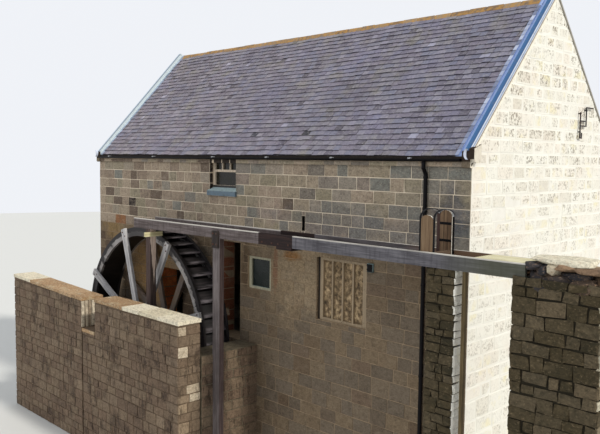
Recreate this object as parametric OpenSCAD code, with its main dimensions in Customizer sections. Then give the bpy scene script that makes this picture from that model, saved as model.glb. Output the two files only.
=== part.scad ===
// A stone watermill: a gabled slate-roofed mill house with an overshot waterwheel in a
// walled pit along its front, fed by an open timber launder with a small sluice.
// X runs along the mill house, Y into it from the front face, Z up from the pit's bottom.
// Places along the house are measured from its right front corner towards the left.

/* [Mill house] */
// Length of the house along its front
house_len = 13440; // [12000:20:15000]
// Depth of the house, front face to back face
house_depth = 6000; // [5600:20:6600]
// Thickness of the stone walls
wall_t = 550; // [450:10:650]
// Height of the yard and of the ground floor above the pit's bottom
yard_z = 3110; // [3000:10:3200]
// Height of the upper floor's boards above the pit's bottom
upper_floor_z = 5720; // [5700:10:5800]
// Height of the slates' surface above the front face
eaves_z = 7780; // [7700:10:8200]
// Rise of the roof from the eaves to the ridge
ridge_rise = 3260; // [2800:20:3600]

/* [Floors] */
// Thickness of the ground floor's slab
slab_t = 150; // [100:10:200]
// Thickness of the upper floor's boards
board_t = 40; // [30:5:60]
// Depth of the beams under the upper floor
beam_h = 220; // [160:10:260]
// Width of the beams
beam_w = 160; // [120:10:220]
// Number of beams
beam_count = 7; // [5:1:9]

/* [Roof] */
// Thickness of the roof's slates, battens and rafters together
roof_t = 130; // [100:10:180]
// How far the slates reach past the walls
eaves_over = 70; // [40:5:100]
// Width of the stone strip along each verge
verge_w = 315; // [280:5:350]
// Height of the verge strips above the slates
verge_h = 70; // [40:5:100]
// Overhang of the verge strips past the gables
verge_over = 25; // [0:5:50]
// Width of the raised strip along each gable
verge_strip = 150; // [100:5:170]
// Height of the bed under the strips' overhanging edges
verge_bed = 34; // [20:2:50]
// Width of the flashing between the slates and the verge's channel
flashing_w = 75; // [40:5:90]
// Height of the flashing above the slates
flashing_h = 22; // [12:1:30]
// Height of the channel's lining above the slates
channel_h = 6; // [4:1:10]
// Width of each side of the ridge stones
ridge_w = 210; // [150:10:280]
// Thickness of the ridge stones
ridge_t = 50; // [30:5:80]

/* [Rainwater goods] */
// Width of the kneeler stones
kneeler_w = 185; // [120:5:240]
// Reach of the kneeler stones past the slates' edge
kneeler_out = 30; // [20:5:80]
// Depth of the kneeler stones below the roof's edge
kneeler_drop = 20; // [10:5:160]
// Outer radius of the half-round gutters
gutter_r = 58; // [50:1:75]
// Depth of the gutters' rims below the slates' edge
gutter_drop = 45; // [30:5:60]
// Wall thickness of the gutters
gutter_t = 6; // [4:1:10]
// Radius of the downpipes
pipe_r = 38; // [30:1:45]
// Distance of the downpipes from the right corner
pipe_x = 985; // [850:5:1200]
// Distance of the downpipes' middles from the walls
pipe_out = 52; // [50:1:65]
// Height of the bend from a gutter back to the wall
pipe_neck = 120; // [100:10:200]
// Distance of the bends below the roof's edge
pipe_drop = 30; // [25:5:60]
// Height of the downpipes' brackets
pipe_band_h = 45; // [30:5:60]
// Thickness of the brackets' iron
pipe_band_t = 8; // [5:1:12]

/* [Front openings] */
// Distance of the upper window's middle from the right corner
upper_window_x = 7280; // [7000:10:7500]
// Width of the upper window
upper_window_w = 1075; // [900:5:1200]
// Height of the underside of the upper window's sill
upper_window_z = 6680; // [6600:10:6750]
// Height of the upper window's meeting rail
upper_rail_z = 7282; // [7200:2:7320]
// Distance of the lower window's middle from the right corner
lower_window_x = 5842; // [5750:2:5900]
// Width of the lower window
lower_window_w = 840; // [600:10:880]
// Height of the lower window's head
lower_window_top = 5262; // [5200:2:5400]
// Height of the lower window's foot
lower_window_z = 4468; // [4350:2:4600]
// Distance of the doorway's right side from the right corner
doorway_x = 6552; // [6500:2:6600]
// Width of the doorway
doorway_w = 900; // [800:10:1000]
// Height of the doorway
doorway_h = 2430; // [2100:10:2440]
// Distance of the wide light's right side from the right corner
wide_light_x = 2448; // [2440:2:2700]
// Width of the wide light
wide_light_w = 1456; // [1200:2:1600]
// Height of the wide light
wide_light_h = 1400; // [1000:10:1800]
// Height of the wide light's head
wide_light_top = 5470; // [5300:10:5600]
// Number of lights in the wide light
light_count = 4; // [3:1:5]
// Width of the wide light's outer stiles
wide_stile = 150; // [90:5:180]
// Depth of the wide light's reveal
wide_reveal = 60; // [40:5:150]
// Distance of the vent slit from the right corner
slit_x = 4340; // [4200:10:4500]
// Width of the vent slit
slit_w = 96; // [60:2:140]
// Height of the vent slit
slit_h = 340; // [250:10:420]
// Height of the vent slit's foot
slit_z = 6010; // [5900:10:6200]
// Width of the opening for the wheel's axle
shaft_gap_w = 1060; // [900:10:1200]
// Height of the head of the opening for the wheel's axle
shaft_gap_top = 4560; // [4400:10:4700]
// Height of the lintel over the opening for the wheel's axle
lintel_h = 220; // [180:10:260]
// Height of the back's upper window
back_window_h = 520; // [400:10:560]

/* [Windows] */
// Depth of the window reveals outside the frames
reveal = 120; // [80:5:180]
// Depth of the lower window's reveal
lower_reveal = 45; // [30:5:120]
// Thickness of the window frames
frame_t = 70; // [50:5:90]
// Width of the window frames' stiles
frame_w = 90; // [60:5:110]
// Height of the window frames' rails
rail_h = 60; // [45:5:80]
// Width of the bars between panes
bar_w = 42; // [30:2:55]
// Depth of the bars between panes
bar_t = 45; // [30:5:50]
// Thickness of the glass
glass_t = 8; // [4:1:12]
// Height of the sills' front faces
sill_h = 120; // [80:5:140]
// Rise of a sill's weathered top from its edge to the frame
sill_rise = 85; // [40:5:100]
// Reach of the sills past the wall's face
sill_out = 60; // [30:5:100]
// Reach of a sill's nose past the sides of its window
sill_horn = 35; // [20:5:60]

/* [Wall irons] */
// Distance of the wall box's middle from the right corner
wall_box_x = 2323; // [2310:1:2340]
// Width of the wall box
wall_box_w = 148; // [100:2:160]
// Height of the wall box
wall_box_h = 180; // [150:10:300]
// Depth of the wall box
wall_box_d = 60; // [40:5:100]
// Height of the wall box's top above the wide light's head
wall_box_up = 20; // [0:5:40]
// Distance of the gable bracket's lower bar from the front face
bracket_y = 4215; // [4100:5:4300]
// Height of the gable bracket's foot
bracket_z = 8150; // [8000:10:8200]
// Distance between the gable bracket's two bars
bracket_w = 290; // [200:5:300]
// Height of the gable bracket's lower bar
bracket_h = 580; // [450:10:600]
// Reach of the gable bracket's arm
bracket_reach = 345; // [250:5:400]
// Distance of the gable bracket's bars from the wall
bracket_stub = 40; // [20:5:60]
// Width of the gable bracket's iron
bracket_bar = 28; // [16:2:40]
// Thickness of the gable bracket's iron
bracket_t = 20; // [10:1:25]

/* [Waterwheel] */
// Distance of the wheel's axle from the right corner
wheel_x = 9530; // [9400:10:9600]
// Height of the wheel's axle above the pit's bottom
wheel_z = 2975; // [2950:5:3000]
// Outer radius of the wheel
wheel_r = 2790; // [2700:5:2800]
// Radial depth of the shrouds
shroud_d = 240; // [200:5:300]
// Thickness of a shroud
shroud_t = 75; // [50:5:90]
// Distance from the front face to the wheel's inner shroud
wheel_gap = 188; // [180:2:240]
// Width of the wheel over its shrouds
wheel_w = 784; // [700:2:800]
// Number of buckets
bucket_count = 48; // [40:8:56]
// Thickness of the bucket boards
bucket_t = 24; // [18:1:30]
// Lead of a bucket's lip over its foot, in degrees
bucket_lead = 7; // [5:0.5:9]
// Thickness of the sole boards inside the buckets
sole_t = 28; // [20:1:40]
// Number of arms on each side
arm_count = 8; // [6:1:10]
// Width of an arm
arm_w = 190; // [150:5:200]
// Reach of the arms past the rim
arm_tip = 20; // [0:5:30]
// Thickness of an arm
arm_t = 72; // [50:2:75]
// Turn of the first arm from upright, in degrees
arm_turn = -17; // [-22:1:22]
// Radius of the axle
axle_r = 240; // [200:5:250]
// Width of the pier under the outer bearing
bearing_pier_w = 700; // [500:10:900]
// Radius of the iron gudgeons at the axle's ends
gudgeon_r = 50; // [40:1:60]
// Running clearance round a gudgeon
gudgeon_gap = 0.3; // [0.3:0.1:2]
// Radius of the iron naves that carry the arms
nave_r = 430; // [380:10:480]

/* [Wheel pit] */
// Distance from the front face to the pit wall
pit_w = 1680; // [1640:10:1760]
// Thickness of the pit wall
pit_wall_t = 650; // [500:10:700]
// Height of the pit wall's parapet
parapet_z = 3995; // [3900:5:4100]
// Distance of the parapet's left end from the right corner
parapet_x = 9630; // [9500:10:9800]
// Distance of the yard wall's right end from the right corner
yard_wall_x = 10300; // [10100:10:10400]
// Distance of the yard wall's left end from the right corner
yard_wall_end = 14560; // [14000:10:15200]
// Height of the yard wall at its right end
yard_wall_z = 3915; // [3800:5:4000]
// Rise of the yard wall towards its left end
yard_wall_rise = 135; // [0:5:200]
// Clearance between the wheel and the pit's ends
pit_end_gap = 180; // [120:10:250]
// Thickness of the pit's left end wall
pit_end_t = 600; // [450:10:700]

/* [Launder] */
// Distance from the front face to the launder's near face
launder_y = 1366; // [1340:2:1400]
// Width of the launder over its boards
launder_w = 694; // [600:2:760]
// Height of the launder's boards
launder_h = 250; // [200:5:300]
// Height of the launder's underside
launder_z = 5815; // [5810:5:5900]
// Thickness of the launder's boards
launder_t = 50; // [35:1:60]
// Distance of the launder's left end from the right corner
launder_left = 9250; // [9100:10:10000]
// Reach of the launder past the right corner
launder_right = 1850; // [1700:10:2000]
// Distance of the splice's left end from the right corner
splice_left = 4320; // [4200:10:4500]
// Length of the splice
splice_len = 1040; // [800:10:1200]
// Length of the board under the splice
splice_board_len = 450; // [300:10:500]
// Thickness of the board under the splice
splice_board_t = 60; // [30:5:80]
// Distance of that board from the splice's right end
splice_board_x = 30; // [0:5:60]

/* [Launder supports] */
// Distance of the wheel post from the right corner
wheel_post_x = 8580; // [8500:10:8700]
// Side of the wheel post
wheel_post_w = 200; // [150:5:240]
// Depth of the wheel post
wheel_post_d = 165; // [120:5:180]
// Length of the plank on the wheel post's side
bolster_len = 520; // [350:5:540]
// Thickness of the plank
bolster_t = 50; // [30:5:80]
// Height of the plank
bolster_h = 115; // [90:5:150]
// Distance of the plank's top below the launder
bolster_drop = 68; // [30:2:90]
// Reach of the plank past the launder's near face
bolster_out = 185; // [100:5:220]
// Distance of the middle post from the right corner
mid_post_x = 5770; // [5700:5:5780]
// Width of the middle post
mid_post_w = 255; // [200:5:300]
// Depth of the middle post
mid_post_d = 125; // [100:5:160]
// Thickness of the cleat on the middle post
cleat_t = 50; // [35:5:70]
// Reach of the cleat above the launder's underside
cleat_up = 170; // [120:10:230]
// Reach of the cleat below the launder's underside
cleat_down = 220; // [150:10:300]
// Distance of the cleat's sides from the middle post's sides
cleat_in = 20; // [0:5:40]
// Width of the pier
pier_w = 600; // [500:10:650]
// Depth of the pier
pier_d = 300; // [250:10:600]
// Distance of the pier's left side past the right corner
pier_x = 0; // [0:5:60]
// Side of the right post
right_post_w = 60; // [50:2:80]
// Distance of the right post past the right corner
right_post_x = 762; // [755:1:820]
// Distance of the pier and the right post from the launder's near face
support_in = 20; // [0:5:40]
// Reach of the abutment past the right corner
abutment_end = 3080; // [3000:10:3300]
// Lap of the abutment under the launder's end
abutment_lap = 200; // [150:10:300]
// Reach of the abutment past the launder's sides
abutment_out = 60; // [40:5:100]
// Thickness of the boulders on the abutment
boulder_h = 330; // [250:10:400]
// Distance of the cover board's left end past the right corner
cover_x = 920; // [850:10:1000]
// Thickness of the cover board
cover_t = 40; // [25:1:50]

/* [Sluice] */
// Distance between the sluice's two hoops
hoop_gap = 283; // [240:1:320]
// Place of the sluice's middle, past the right corner when positive
sluice_x = -16; // [-60:1:60]
// Height of the hoops' tops
hoop_top = 6795; // [6700:5:6900]
// Rise of the hoops' arched tops
hoop_rise = 150; // [100:5:200]
// Width of the hoops' iron bar
hoop_bar = 36; // [20:1:50]
// Thickness of the hoops' iron bar
hoop_t = 12; // [6:1:20]
// Thickness of the cheek boards
cheek_t = 35; // [25:1:45]
// Height of the near cheek's top
near_cheek_top = 6693; // [6600:1:6720]
// Height of the far cheek's top
far_cheek_top = 6757; // [6700:1:6770]
// Height of an iron strap on a cheek
strap_h = 44; // [30:1:60]
// Thickness of the iron straps
strap_t = 8; // [5:1:12]
// Thickness of the sluice gate
gate_t = 32; // [20:1:36]
// Clearance round the sluice gate
gate_gap = 6; // [5:1:10]

/* [Hidden] */
$fn = 48;

slope = ridge_rise / (house_depth / 2);
rake = sqrt(1 + slope * slope);
roof_v = roof_t * rake;
bed = 0.3;
wall_top = eaves_z - roof_v - bed;
mid_y = house_depth / 2;
gutter_y = -eaves_over - gutter_r - bed;
gutter_z = eaves_z - slope * eaves_over - gutter_drop;
roof_foot = wall_top - slope * (eaves_over + bed);
pipe_bend = roof_foot - pipe_drop;
pipe_foot = pipe_bend - pipe_neck;
pipe_band_z = [900, 3400, 5200, pipe_foot - pipe_r - pipe_band_h];

// The frame's origin is under the middle of everything
x_min = -yard_wall_end;
x_max = abutment_end;
y_min = -pit_w - pit_wall_t;
y_max = house_depth - gutter_y + gutter_r;
origin = [(x_min + x_max) / 2, (y_min + y_max) / 2, 0];

stone = [0.62, 0.54, 0.42];
pale_stone = [0.80, 0.73, 0.58];
slate = [0.36, 0.34, 0.38];
timber = [0.36, 0.29, 0.25];
old_oak = [0.55, 0.53, 0.50];
wet_wood = [0.16, 0.14, 0.13];
iron = [0.10, 0.10, 0.11];
cream = [0.80, 0.76, 0.64];
glass = [0.12, 0.18, 0.20];

shroud_in = wheel_r - shroud_d;
wheel_y = -wheel_gap - wheel_w;
shaft_sill = wheel_z - axle_r - 35;
axle_out = -1400;
axle_in = 60;
block_w = 420;
block_d = 240;
block_drop = 60;
housing_t = 70;
outer_block_y = -1650;
inner_block_y = 120;
arm_foot = 300;
bucket_seam = 0.1;
strap_z = [6201, 6501];
frame_foot = sill_h + sill_rise;

launder_near = -launder_y;
launder_far = launder_near + launder_w;
launder_top = launder_z + launder_h;
launder_floor = launder_z + launder_t;
trough_w = launder_w - 2 * launder_t;
trough_mid = launder_near + launder_w / 2;
hoop_x = [sluice_x - hoop_gap / 2, sluice_x + hoop_gap / 2];

// Children drawn in X and Z, extruded from y0 to y1
module along_y(y0, y1) {
    translate([0, y1, 0]) rotate([90, 0, 0]) linear_extrude(y1 - y0) children();
}

// Children drawn in Y and Z, extruded from x0 to x1
module along_x(x0, x1) {
    translate([x0, 0, 0]) rotate([90, 0, 90]) linear_extrude(x1 - x0) children();
}

module block(from, to) {
    translate(from) cube(to - from);
}

module in_frame() {
    translate(-origin) children();
}

// Height of the roof's upper surface, or of a surface lowered by drop, over a depth
function roof_z(y, drop = 0) = eaves_z - drop + slope * min(y, house_depth - y);

// The underside of the roof over a depth, less the mortar bed
function wall_head(y) = roof_z(y, roof_v + bed);

// A hole through a front wall, from z up to top
module wall_hole(x_mid, w, z, top) {
    block([-x_mid - w / 2, -1, z], [-x_mid + w / 2, wall_t + 1, top]);
}

// The windows and the vent slit, cut from each length of the front wall that they meet
module window_openings() {
    wall_hole(upper_window_x, upper_window_w, upper_window_z, eaves_z + slope * wall_t);
    wall_hole(slit_x, slit_w, slit_z, slit_z + slit_h);
    wall_hole(lower_window_x, lower_window_w, lower_window_z, lower_window_top);
    wall_hole(wide_light_x + wide_light_w / 2, wide_light_w, wide_light_top - wide_light_h,
        wide_light_top);
}

module front_wall_left() {
    color(stone) in_frame() difference() {
        block([-house_len, 0, 0], [-doorway_x - doorway_w, wall_t, upper_floor_z]);
        wall_hole(wheel_x, shaft_gap_w, shaft_sill, shaft_gap_top + lintel_h);
    }
}

module front_wall_right() {
    color(stone) in_frame() difference() {
        block([-doorway_x - doorway_w, 0, 0], [0, wall_t, upper_floor_z]);
        block([-doorway_x - doorway_w - 1, -1, yard_z], [-doorway_x, wall_t + 1, upper_floor_z + 1]);
        window_openings();
    }
}

module front_wall_upper() {
    color(stone) in_frame() difference() {
        along_x(-house_len, 0)
            polygon([[0, upper_floor_z], [wall_t, upper_floor_z], [wall_t, wall_head(wall_t)],
                [0, wall_top]]);
        window_openings();
    }
}

module doorway_lintel() {
    color(stone) in_frame()
        block([-doorway_x - doorway_w, 0, yard_z + doorway_h], [-doorway_x, wall_t, upper_floor_z]);
}

module shaft_lintel() {
    color(pale_stone) in_frame()
        block([-wheel_x - shaft_gap_w / 2, 0, shaft_gap_top],
            [-wheel_x + shaft_gap_w / 2, wall_t, shaft_gap_top + lintel_h]);
}

module back_wall() {
    color(stone) in_frame() difference() {
        along_x(-house_len, 0)
            polygon([[house_depth - wall_t, 0], [house_depth, 0], [house_depth, wall_top],
                [house_depth - wall_t, wall_head(wall_t)]]);
        translate([0, house_depth - wall_t, 0]) {
            wall_hole(upper_window_x, upper_window_w, upper_window_z,
                upper_window_z + frame_foot + back_window_h);
            wall_hole(lower_window_x, lower_window_w, lower_window_z, lower_window_top);
        }
    }
}

module gable(x0) {
    along_x(x0, x0 + wall_t)
        polygon([[wall_t, 0], [house_depth - wall_t, 0],
            [house_depth - wall_t, wall_head(wall_t)], [mid_y, wall_head(mid_y)],
            [wall_t, wall_head(wall_t)]]);
}

module right_gable() {
    color(pale_stone) in_frame() gable(-wall_t);
}

module left_gable() {
    color(stone) in_frame() gable(-house_len);
}

module ground_floor() {
    color(stone) in_frame()
        block([-house_len + wall_t, wall_t, yard_z - slab_t], [-wall_t, house_depth - wall_t, yard_z]);
}

module upper_floor() {
    color(timber) in_frame()
        block([-house_len + wall_t, wall_t, upper_floor_z - board_t],
            [-wall_t, house_depth - wall_t, upper_floor_z]);
}

module floor_beams() {
    pitch = (house_len - 2 * wall_t) / (beam_count + 1);
    color(timber) in_frame() for (i = [1:beam_count])
        translate([-house_len + wall_t + i * pitch - beam_w / 2, wall_t, upper_floor_z - board_t - beam_h])
            cube([beam_w, house_depth - 2 * wall_t, beam_h]);
}

module roof_slope() {
    along_x(-house_len, 0)
        polygon([[-eaves_over, roof_z(-eaves_over)], [mid_y, roof_z(mid_y)],
            [mid_y, roof_z(mid_y, roof_v)], [-eaves_over, roof_z(-eaves_over, roof_v)]]);
}

module roof_front() {
    color(slate) in_frame() roof_slope();
}

module roof_back() {
    color(slate) in_frame() translate([0, house_depth, 0]) mirror([0, 1, 0]) roof_slope();
}

// A bent strip over both slopes, from foot to top above the slates, down to y0 on each side
module saddle(y0, foot, top, x0, x1) {
    along_x(x0, x1)
        polygon([[y0, roof_z(y0, -foot)], [mid_y, roof_z(mid_y, -foot)],
            [house_depth - y0, roof_z(y0, -foot)], [house_depth - y0, roof_z(y0, -top)],
            [mid_y, roof_z(mid_y, -top)], [y0, roof_z(y0, -top)]]);
}

module ridge() {
    run = ridge_w / rake;
    color(pale_stone) in_frame()
        saddle(mid_y - run, 0, ridge_t * rake, -house_len + verge_w, -verge_w);
}

// A right-hand verge from its outer edge at X = 0: strip on its bed, channel, then flashing
module verge() {
    run = verge_w + verge_over;
    bed_top = verge_bed * rake;
    union() {
        saddle(-eaves_over, bed_top, verge_h * rake, -verge_strip, 0);
        saddle(-eaves_over, 0, bed_top, -verge_strip, -verge_over);
        saddle(-eaves_over, 0, channel_h * rake, -run + flashing_w, -verge_strip);
        saddle(-eaves_over, 0, flashing_h * rake, -run, -run + flashing_w);
    }
}

module right_verge() {
    color(slate) in_frame() translate([verge_over, 0, 0]) verge();
}

module left_verge() {
    color(slate) in_frame() translate([-house_len - verge_over, 0, 0]) mirror([1, 0, 0]) verge();
}

// A stone at the foot of a verge: a nose before the slates on a block against the wall
module kneeler(x0, x1) {
    foot = roof_foot - kneeler_drop;
    nose = roof_z(-eaves_over, -verge_h * rake);
    along_x(x0, x1)
        polygon([[-eaves_over - kneeler_out, foot + kneeler_out / 2], [-eaves_over, foot], [0, foot],
            [0, wall_top], [-eaves_over - bed, roof_foot],
            [-eaves_over - bed, nose],
            [-eaves_over - kneeler_out, nose - kneeler_out / 2]]);
}

module kneelers() {
    inner = kneeler_w - verge_over;
    color(pale_stone) in_frame()
        for (side = [0, 1])
            translate([0, side * house_depth, 0]) mirror([0, side, 0]) {
                kneeler(-inner, verge_over);
                kneeler(-house_len - verge_over, -house_len + inner);
            }
}

module gutter_section() {
    difference() {
        circle(gutter_r);
        circle(gutter_r - gutter_t);
        translate([-2 * gutter_r, 0]) square([4 * gutter_r, 2 * gutter_r]);
    }
}

module gutters() {
    end = kneeler_w - verge_over;
    color(iron) in_frame() for (side = [0, 1])
        translate([0, side * house_depth, 0]) mirror([0, side, 0])
            translate([0, gutter_y, gutter_z]) {
                along_x(-house_len + end, -end) gutter_section();
                for (x = [-house_len + end, -end - gutter_t])
                    along_x(x, x + gutter_t) difference() {
                        circle(gutter_r);
                        translate([-2 * gutter_r, 0]) square([4 * gutter_r, 2 * gutter_r]);
                    }
            }
}

// A pipe from a gutter's outlet, through a bend back to the wall, down to the bottom
module downpipe() {
    back = -pipe_out - gutter_y;
    translate([0, gutter_y, pipe_bend]) {
        cylinder(r = pipe_r, h = gutter_z - gutter_r - pipe_bend);
        sphere(r = pipe_r + pipe_band_t / 2);
        rotate([180 + atan2(back, pipe_neck), 0, 0])
            cylinder(r = pipe_r, h = sqrt(back * back + pipe_neck * pipe_neck));
    }
    translate([0, -pipe_out, pipe_foot]) sphere(r = pipe_r + pipe_band_t / 2);
    translate([0, -pipe_out, 0]) cylinder(r = pipe_r, h = pipe_foot);
}

module downpipes() {
    color(iron) in_frame() for (side = [0, 1])
        translate([0, side * house_depth, 0]) mirror([0, side, 0])
            translate([-pipe_x, 0, 0]) downpipe();
}

// An iron collar round a downpipe on a stub from the wall
module pipe_brackets() {
    collar = pipe_r + bed + pipe_band_t;
    color(iron) in_frame() for (side = [0, 1], z = pipe_band_z)
        translate([0, side * house_depth, z]) mirror([0, side, 0])
            translate([-pipe_x, -pipe_out, 0]) linear_extrude(pipe_band_h) difference() {
                union() {
                    circle(collar);
                    translate([-pipe_r / 2, 0]) square([pipe_r, pipe_out]);
                }
                circle(pipe_r + bed);
            }
}

// A frame from z up to top, left open for its panes, in X and Z
module window_frame(x_mid, w, z, top, y0, stile = frame_w) {
    along_y(y0, y0 + frame_t) difference() {
        translate([-x_mid - w / 2, z]) square([w, top - z]);
        translate([-x_mid - w / 2 + stile, z + rail_h])
            square([w - 2 * stile, top - z - 2 * rail_h]);
    }
}

// Upright bars that part a frame into equal panes, from z up to top
module window_bars(x_mid, w, z, top, y0, panes, stile = frame_w) {
    pitch = (w - 2 * stile + bar_w) / panes;
    for (i = [1:panes - 1])
        block([-x_mid - w / 2 + stile - bar_w + i * pitch, y0, z],
            [-x_mid - w / 2 + stile + i * pitch, y0 + bar_t, top]);
}

module pane(x_mid, w, z, top, y0, stile = frame_w) {
    block([-x_mid - w / 2 + stile, y0, z + rail_h],
        [-x_mid + w / 2 - stile, y0 + glass_t, top - rail_h]);
}

// A sill through the wall with a weathered top and a nose past both sides of the window
module sill(x_mid, w, z) {
    edge = z + sill_h;
    foot = z + frame_foot;
    at_face = edge + sill_rise * sill_out / (sill_out + reveal);
    translate([-x_mid, 0, 0]) {
        along_x(-w / 2, w / 2)
            polygon([[-sill_out, z], [wall_t, z], [wall_t, foot], [reveal, foot], [-sill_out, edge]]);
        along_x(-w / 2 - sill_horn, w / 2 + sill_horn)
            polygon([[-sill_out, z], [0, z], [0, at_face], [-sill_out, edge]]);
    }
}

module window_sills() {
    color(slate) in_frame() for (side = [0, 1])
        translate([0, side * house_depth, 0]) mirror([0, side, 0]) {
            sill(upper_window_x, upper_window_w, upper_window_z);
        }
}

module upper_window() {
    foot = upper_window_z + frame_foot;
    head = wall_head(reveal);
    color(cream) in_frame() {
        window_frame(upper_window_x, upper_window_w, foot, head, reveal);
        block([-upper_window_x - upper_window_w / 2 + frame_w, reveal, upper_rail_z],
            [-upper_window_x + upper_window_w / 2 - frame_w, reveal + bar_t, upper_rail_z + rail_h]);
        window_bars(upper_window_x, upper_window_w, upper_rail_z + rail_h, head - rail_h, reveal, 3);
    }
}

module lower_window() {
    color(cream) in_frame()
        window_frame(lower_window_x, lower_window_w, lower_window_z, lower_window_top, lower_reveal);
}

module wide_light() {
    mid = wide_light_x + wide_light_w / 2;
    foot = wide_light_top - wide_light_h;
    color(timber) in_frame() {
        window_frame(mid, wide_light_w, foot, wide_light_top, wide_reveal, wide_stile);
        window_bars(mid, wide_light_w, foot + rail_h, wide_light_top - rail_h, wide_reveal,
            light_count, wide_stile);
    }
}

module wide_light_panels() {
    color(stone) in_frame()
        pane(wide_light_x + wide_light_w / 2, wide_light_w, wide_light_top - wide_light_h,
            wide_light_top, wide_reveal + bar_t, wide_stile);
}

module back_windows() {
    y0 = house_depth - reveal - frame_t;
    top = upper_window_z + frame_foot + back_window_h;
    color(cream) in_frame() {
        window_frame(upper_window_x, upper_window_w, upper_window_z + frame_foot, top, y0);
        window_frame(lower_window_x, lower_window_w, lower_window_z, lower_window_top, y0);
    }
}

module window_glass() {
    y0 = reveal + bar_t;
    y1 = house_depth - reveal - frame_t / 2;
    upper = upper_window_z + frame_foot;
    color(glass) in_frame() {
        pane(upper_window_x, upper_window_w, upper, wall_head(reveal), y0);
        pane(lower_window_x, lower_window_w, lower_window_z, lower_window_top,
            lower_reveal + bar_t);
        pane(upper_window_x, upper_window_w, upper, upper + back_window_h, y1);
        pane(lower_window_x, lower_window_w, lower_window_z, lower_window_top, y1);
    }
}

// A small iron box on the wall beside the wide light
module wall_box() {
    foot = wide_light_top - wall_box_h + wall_box_up;
    color(iron) in_frame()
        block([-wall_box_x - wall_box_w / 2, -wall_box_d, foot],
            [-wall_box_x + wall_box_w / 2, 0, foot + wall_box_h]);
}

// A flat iron of the gable bracket from one place to another in Y and Z, off the wall
module bracket_iron(y0, z0, y1, z1) {
    block([bracket_stub, bracket_y + y0, bracket_z + z0],
        [bracket_stub + bracket_t, bracket_y + y1, bracket_z + z1]);
}

// A ladder of flat iron on stubs from the right gable, with an arm above and a hook below
module gable_bracket() {
    half = bracket_bar / 2;
    step = bracket_h * 0.46;
    top = bracket_h * 1.17;
    hook = bracket_h * 0.16;
    color(iron) in_frame() {
        bracket_iron(-half, 0, half, bracket_h);
        bracket_iron(bracket_w - half, step, bracket_w + half, top + bracket_bar);
        bracket_iron(0, step, bracket_w, step + bracket_bar);
        bracket_iron(0, step * 1.4, bracket_w, step * 1.4 + bracket_bar);
        bracket_iron(bracket_w, top, bracket_w + bracket_reach, top + bracket_bar);
        bracket_iron(0, 0, hook, bracket_bar);
        bracket_iron(hook - bracket_bar, 0, hook, hook * 1.4);
        for (stub = [[0, step * 0.5], [0, step * 2], [bracket_w, step * 2.3]])
            translate([0, bracket_y + stub[0] - half, bracket_z + stub[1]])
                cube([bracket_stub, bracket_bar, bracket_bar]);
    }
}

module on_axle() {
    in_frame() translate([-wheel_x, 0, wheel_z]) children();
}

module ring(outer, inner) {
    difference() {
        circle(outer, $fn = 192);
        circle(inner, $fn = 192);
    }
}

module wheel_shrouds() {
    color(wet_wood) on_axle() for (y = [wheel_y, -wheel_gap - shroud_t])
        along_y(y, y + shroud_t) ring(wheel_r, shroud_in);
}

// One elbow bucket: a riser board that stands on the sole, and a face board out to the lip
module bucket() {
    foot = shroud_in + sole_t;
    elbow = foot + (wheel_r - foot) * 0.42;
    lip = wheel_r - 4;
    lead = [lip * sin(bucket_lead), lip * cos(bucket_lead)];
    riser = [[0, foot], [bucket_t, foot], [bucket_t, elbow - bucket_t], [0, elbow]];
    face = [[0, elbow], [bucket_t, elbow - bucket_t], lead + [0, -bucket_t], lead];
    across(riser);
    across(face + [for (i = [0:3]) [0, bucket_seam]]);
}

// A board of the given section between the two shrouds
module across(section) {
    along_y(wheel_y + shroud_t, -wheel_gap - shroud_t) polygon(section);
}

module wheel_buckets() {
    color(wet_wood) on_axle() for (i = [0:bucket_count - 1])
        rotate([0, 360 / bucket_count * i, 0]) bucket();
}

module wheel_sole() {
    color(wet_wood) on_axle()
        along_y(wheel_y + shroud_t, -wheel_gap - shroud_t) ring(shroud_in + sole_t, shroud_in);
}

module arm_star() {
    for (i = [0:arm_count - 1])
        rotate(-arm_turn - 360 / arm_count * i)
            translate([-arm_w / 2, arm_foot]) square([arm_w, wheel_r + arm_tip - arm_foot]);
}

module wheel_arms() {
    color(old_oak) on_axle() {
        along_y(wheel_y - arm_t, wheel_y) arm_star();
        along_y(-wheel_gap, -wheel_gap + arm_t) arm_star();
    }
}

module wheel_naves() {
    color(iron) on_axle() for (y = [wheel_y, -wheel_gap - shroud_t])
        along_y(y, y + shroud_t) ring(nave_r, axle_r);
}

module wheel_axle() {
    color(old_oak) on_axle() {
        along_y(axle_out, axle_in) circle(axle_r, $fn = 96);
        along_y(outer_block_y, axle_out) circle(gudgeon_r);
        along_y(axle_in, inner_block_y + block_d) circle(gudgeon_r);
    }
}

module bearings() {
    color(iron) on_axle() for (y = [outer_block_y, inner_block_y])
        along_y(y, y + block_d) difference() {
            union() {
                translate([-block_w / 2, shaft_sill - wheel_z])
                    square([block_w, wheel_z - shaft_sill - block_drop]);
                circle(gudgeon_r + housing_t);
            }
            circle(gudgeon_r + gudgeon_gap);
        }
}

module bearing_pier() {
    color(stone) in_frame()
        block([-wheel_x - bearing_pier_w / 2, -pit_w, 0],
            [-wheel_x + bearing_pier_w / 2, outer_block_y + block_d, shaft_sill]);
}

module pit_wall() {
    right = -mid_post_x - mid_post_w / 2;
    color(stone) in_frame() along_y(-pit_w - pit_wall_t, -pit_w)
        polygon([[-yard_wall_x, 0], [right, 0], [right, parapet_z], [-parapet_x, parapet_z],
            [-parapet_x, yard_z], [-yard_wall_x, yard_z]]);
}

module pit_end_walls() {
    reach = wheel_r + pit_end_gap;
    color(stone) in_frame() {
        block([-wheel_x + reach, -pit_w, 0], [-mid_post_x - mid_post_w / 2, 0, yard_z]);
        block([-wheel_x - reach - pit_end_t, -pit_w, 0], [-wheel_x - reach, 0, yard_z]);
    }
}

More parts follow.
